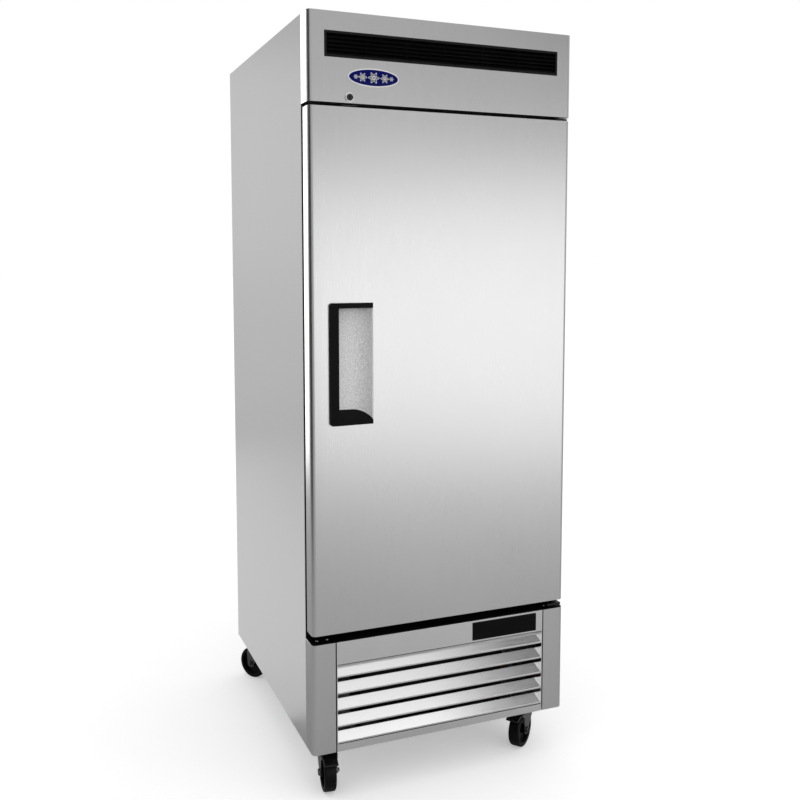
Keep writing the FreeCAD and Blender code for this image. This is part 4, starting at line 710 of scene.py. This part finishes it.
# ---------------------------------------------------------------- inside: evaporator, light, rails, shelves
# Under the ceiling hangs a coil in a coated cover, with a fan behind a wire guard. Slotted steel rails
# on the side walls carry spring clips, and three plastic-coated wire shelves lift off the clips.
evaporator_paint = moulded("evaporator_cover_paint", (0.62, 0.63, 0.63), 0.42, grain=500.0)
eased("evaporator_cover", 0.0009, evaporator_paint, 3)
dress("evaporator_coil", finned("evaporator_fin_finish", 0.0022, 0.66))
eased("evaporator_fan_blade", 0.0004, fan_sheet)
eased("evaporator_fan_motor", 0.0008, motor_paint)

guard_tree = bpy.data.node_groups.new("wire_guard", "GeometryNodeTree")
guard_tree.interface.new_socket("Geometry", in_out="OUTPUT", socket_type="NodeSocketGeometry")
for guard_input, kind, value in (("Rings", "Int", 6), ("Pitch", "Float", 0.011), ("Spokes", "Int", 8),
                                 ("Reach", "Float", 0.07), ("Wire", "Float", 0.0011)):
    socket(guard_tree, guard_input, kind, value)
socket(guard_tree, "Finish", "Material")
guard_given = guard_tree.nodes.new("NodeGroupInput")


def guard_node(kind, **inputs):
    """One node of the guard's tree with its inputs linked or set."""
    made = guard_tree.nodes.new(kind)
    for key, value in inputs.items():
        target = made.inputs[key.replace("_", " ")]
        if isinstance(value, bpy.types.NodeSocket):
            guard_tree.links.new(value, target)
        else:
            target.default_value = value
    return made


def guard_pair(x):
    """A vector along X, from one of the guard's sizes."""
    return guard_node("ShaderNodeCombineXYZ", X=x).outputs["Vector"]


ring_points = guard_node("GeometryNodeMeshLine", Count=guard_given.outputs["Rings"],
                         Start_Location=guard_pair(guard_given.outputs["Pitch"]),
                         Offset=guard_pair(guard_given.outputs["Pitch"]))
ring_centre = guard_node("GeometryNodeSetPosition", Geometry=ring_points.outputs["Mesh"], Position=(0, 0, 0))
ring_size = guard_node("ShaderNodeMath")
ring_size.operation = "MULTIPLY_ADD"
ring_index = guard_tree.nodes.new("GeometryNodeInputIndex")
for ring_value, slot_number in ((ring_index.outputs["Index"], 0), (guard_given.outputs["Pitch"], 1),
                                (guard_given.outputs["Pitch"], 2)):
    guard_tree.links.new(ring_value, ring_size.inputs[slot_number])
unit_ring = guard_node("GeometryNodeCurvePrimitiveCircle", Resolution=48)
rings = guard_node("GeometryNodeInstanceOnPoints", Points=ring_centre.outputs["Geometry"],
                   Instance=unit_ring.outputs["Curve"], Scale=ring_size.outputs["Value"])
unit_spoke = guard_node("GeometryNodeCurvePrimitiveLine", End=guard_pair(guard_given.outputs["Reach"]))
spoke_points = guard_node("GeometryNodeMeshLine", Count=guard_given.outputs["Spokes"], Offset=(0, 0, 0))
spoke_step = guard_node("ShaderNodeMath")
spoke_step.operation = "DIVIDE"
spoke_step.inputs[0].default_value = 2 * pi
guard_tree.links.new(guard_given.outputs["Spokes"], spoke_step.inputs[1])
spoke_turn = guard_node("ShaderNodeMath")
spoke_turn.operation = "MULTIPLY"
guard_tree.links.new(ring_index.outputs["Index"], spoke_turn.inputs[0])
guard_tree.links.new(spoke_step.outputs["Value"], spoke_turn.inputs[1])
spoke_euler = guard_node("ShaderNodeCombineXYZ", Z=spoke_turn.outputs["Value"])
spoke_rotation = guard_node("FunctionNodeEulerToRotation", Euler=spoke_euler.outputs["Vector"])
spokes = guard_node("GeometryNodeInstanceOnPoints", Points=spoke_points.outputs["Mesh"],
                    Instance=unit_spoke.outputs["Curve"], Rotation=spoke_rotation.outputs["Rotation"])
guard_join = guard_tree.nodes.new("GeometryNodeJoinGeometry")
guard_tree.links.new(rings.outputs["Instances"], guard_join.inputs["Geometry"])
guard_tree.links.new(spokes.outputs["Instances"], guard_join.inputs["Geometry"])
guard_real = guard_node("GeometryNodeRealizeInstances", Geometry=guard_join.outputs["Geometry"])
wire_section = guard_node("GeometryNodeCurvePrimitiveCircle", Resolution=8,
                          Radius=guard_given.outputs["Wire"])
guard_wires = guard_node("GeometryNodeCurveToMesh", Curve=guard_real.outputs["Geometry"],
                         Profile_Curve=wire_section.outputs["Curve"], Fill_Caps=True)
guard_paint = guard_node("GeometryNodeSetMaterial", Geometry=guard_wires.outputs["Mesh"],
                         Material=guard_given.outputs["Finish"])
guard_result = guard_tree.nodes.new("NodeGroupOutput")
guard_tree.links.new(guard_paint.outputs["Geometry"], guard_result.inputs["Geometry"])

cover_low, cover_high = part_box("evaporator_cover")
GUARD_PROUD = 0.004
guard_at = Vector((0, cover_low.y - GUARD_PROUD, (cover_low.z + cover_high.z) / 2))
fan_guard = grown("evaporator_fan_guard", guard_tree, {
    "Rings": 7, "Pitch": 0.0104, "Spokes": 8, "Reach": 0.0728, "Wire": 0.0011}, satin_black)
put(fan_guard.data, guard_at, "front")
shade(fan_guard.data)
COVER_SCREW_OUT, COVER_SCREW_UP = 0.074, 0.06
guard_screws = [(COVER_SCREW_OUT * sx, cover_low.y, guard_at.z + COVER_SCREW_UP * sz)
                for sx in (-1, 1) for sz in (-1, 1)]
screws("evaporator_cover_screws", guard_screws, "front")

lamp_cover = moulded("lamp_cover_finish", (0.88, 0.88, 0.84), 0.35, grain=120.0, depth=0.0003)
lamp_cover.node_tree.nodes["Principled BSDF"].inputs["Transmission Weight"].default_value = 0.35
eased("interior_light", 0.0012, lamp_cover, 3)
rail_zinc = brushed("rail_zinc_finish", 0.62, 0.32, (1, 1, 0.05))
dress("shelf_pilasters", rail_zinc)
eased("shelf_clips", 0.0005, rail_zinc)


def wire_loop_mesh(name, low, high, z, radius, corner, steps=6, sides=12):
    """A closed loop of round wire with bent corners, lying flat."""
    section = [(radius + radius * cos(2 * pi * i / sides), z + radius * sin(2 * pi * i / sides))
               for i in range(sides)]
    mesh = framed_mesh(name, Vector((low.x, 0, low.y)), Vector((high.x, 0, high.y)), section, corner, steps)
    for vertex in mesh.vertices:
        vertex.co = (vertex.co.x, vertex.co.z, vertex.co.y)
    mesh.flip_normals()
    return mesh


FRAME_WIRE = 0.0035
DECK_WIRE = 0.0018
DECK_WIRES = 23
LOOP_CORNER = 0.014
CROSS_IN = 0.210
shelf_coat = moulded("shelf_coating", (0.80, 0.81, 0.80), 0.30, grain=300.0, depth=0.00002)
deck_section = [(DECK_WIRE * cos(2 * pi * i / 10), DECK_WIRE * sin(2 * pi * i / 10)) for i in range(10)]
cross_section = [(FRAME_WIRE * cos(2 * pi * i / 12), FRAME_WIRE * sin(2 * pi * i / 12)) for i in range(12)]
for level in ("shelf_low", "shelf_middle", "shelf_high"):
    shelf_low, shelf_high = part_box(level)
    frame_z = shelf_low.z + FRAME_WIRE
    loop = piece_of(level + "_frame", wire_loop_mesh(
        level + "_frame", shelf_low, shelf_high, frame_z, FRAME_WIRE, LOOP_CORNER), shelf_coat)
    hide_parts(level)
    deck_step = (shelf_high.x - shelf_low.x - 2 * FRAME_WIRE) / (DECK_WIRES + 1)
    deck_wire = master(level + "_deck_wire", bar_mesh(
        level + "_deck_wire", deck_section, shelf_low.y + 0.001, shelf_high.y - 0.001, "Y"))
    deck = grown(level + "_deck", in_row, {
        "Piece": deck_wire, "Turn": (0, 0, 0), "Count": DECK_WIRES, "Step": (deck_step, 0, 0),
        "Start": (shelf_low.x + FRAME_WIRE + deck_step, 0, shelf_high.z - DECK_WIRE)}, shelf_coat)
    shade(deck.data)
    cross_wire = master(level + "_cross_wire", bar_mesh(
        level + "_cross_wire", cross_section, shelf_low.x + FRAME_WIRE, shelf_high.x - FRAME_WIRE))
    cross = grown(level + "_cross_wires", in_row, {
        "Piece": cross_wire, "Turn": (0, 0, 0), "Count": 2, "Start": (0, shelf_low.y + CROSS_IN, frame_z),
        "Step": (0, shelf_high.y - shelf_low.y - 2 * CROSS_IN, 0)}, shelf_coat)
    shade(cross.data)

# ---------------------------------------------------------------- door: skin, foam, liner, gasket and pull
# A stainless outer skin and a shallow aluminium dish close the foam core. A magnetic bellows gasket is
# pushed into the seam, and a grained metal-grey scoop with a black moulded rim makes the recessed pull.
front_group.objects.link(eased("door_skin", 0.0004, front_steel))
dress("door_foam", insulation)
eased("door_liner", 0.0006, liner_sheet)

gasket_low, gasket_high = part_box("door_gasket")
gasket_rubber = moulded("gasket_rubber_finish", (0.030, 0.030, 0.032), 0.55, grain=800.0)
seam, nose = gasket_low.y, gasket_high.y
bellows = framed_mesh("door_gasket_bellows", gasket_low, gasket_high, [
    (0.0030, seam), (0.0025, seam + 0.0020), (0.0055, seam + 0.0035), (0.0020, seam + 0.0052),
    (0.0, seam + 0.0075), (0.0008, nose - 0.0006), (0.0025, nose - 0.0002), (0.0175, nose - 0.0002),
    (0.0192, nose - 0.0006), (0.0200, seam + 0.0075), (0.0180, seam + 0.0052), (0.0145, seam + 0.0035),
    (0.0175, seam + 0.0020), (0.0170, seam)])
gasket = piece_of("door_gasket_finished", bellows, gasket_rubber, "door")
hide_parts("door_gasket")

eased("handle_bezel", 0.0008, black_plastic, 3)
scoop_grey = (0.8, 0.8, 0.8)
scoop_finish, scoop_tree, scoop_shader, scoop_place = new_finish("scoop_grey_finish", scoop_grey, 0.45)
scoop_shader.inputs["Specular IOR Level"].default_value = 0.5
scoop_grit = pattern(scoop_tree, scoop_place, (1, 1, 1), 300.0, 4.0)
two_tone(scoop_tree, scoop_grit, (0.56, 0.56, 0.56), (0.92, 0.92, 0.925), scoop_shader.inputs["Base Color"])
scoop_tree.links.new(spread(scoop_tree, scoop_grit, 0.32, 0.50), scoop_shader.inputs["Roughness"])
relief(scoop_tree, scoop_grit, 0.0004, 0.5, scoop_shader)
scoop_group.objects.link(eased("handle_cup", 0.0002, scoop_finish))

# ---------------------------------------------------------------- hinges: brackets, screws and bearings
# Two black steel brackets are screwed to the cabinet's front corner above and below the door. Their
# pins turn in a nylon bush at the top and a self-closing cartridge at the bottom.
hinge_black = moulded("hinge_black_finish", (0.006, 0.006, 0.0065), 0.30, grain=600.0, sheen=0.4)
for bracket in ("hinge_bracket_top", "hinge_bracket_bottom"):
    eased(bracket, 0.0006, hinge_black)
dress("hinge_bushes", moulded("bush_nylon_finish", (0.55, 0.55, 0.52), 0.4))
top_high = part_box("hinge_bracket_top")[1]
low_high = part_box("hinge_bracket_bottom")[1]
PLATE_THICK = 0.003
SCREW_DOWN = 0.012
TOP_SCREW_X, LOW_SCREW_X = (0.340, 0.353), 0.350
bracket_screws = [(x, top_high.y - PLATE_THICK, top_high.z - SCREW_DOWN) for x in TOP_SCREW_X]
bracket_screws.append((LOW_SCREW_X, low_high.y - PLATE_THICK, low_high.z - SCREW_DOWN))
screws("hinge_screws", bracket_screws, "front")

# ---------------------------------------------------------------- casters: plates, forks, wheels and pedals
# Four bolted swivel casters with blackened pressed forks and rubber treads. The front pair has a toe
# pedal on a pin through the fork, which presses on the tread.
plate_zinc = brushed("caster_zinc_finish", 0.34, 0.24, (1, 1, 1), grain=300.0)
fork_finish = brushed("caster_fork_finish", 0.14, 0.20, (1, 1, 1), streak=0.12, grain=300.0)
tread_rubber = moulded("wheel_rubber_finish", (0.003, 0.003, 0.0032), 0.36, grain=700.0, depth=0.00004,
                       sheen=0.15)
pedal_black = moulded("pedal_plastic_finish", (0.006, 0.006, 0.0065), 0.26, sheen=0.4)
eased("caster_plates", 0.0007, plate_zinc)
dress("caster_bolts", screw_zinc)
for corner in ("front_left", "front_right", "rear_left", "rear_right"):
    eased("caster_fork_" + corner, 0.0008, fork_finish, 3)
    eased("caster_wheel_" + corner, 0.0010, tread_rubber, 3)
for corner in ("front_left", "front_right"):
    eased("brake_pedal_" + corner, 0.0008, pedal_black, 3)
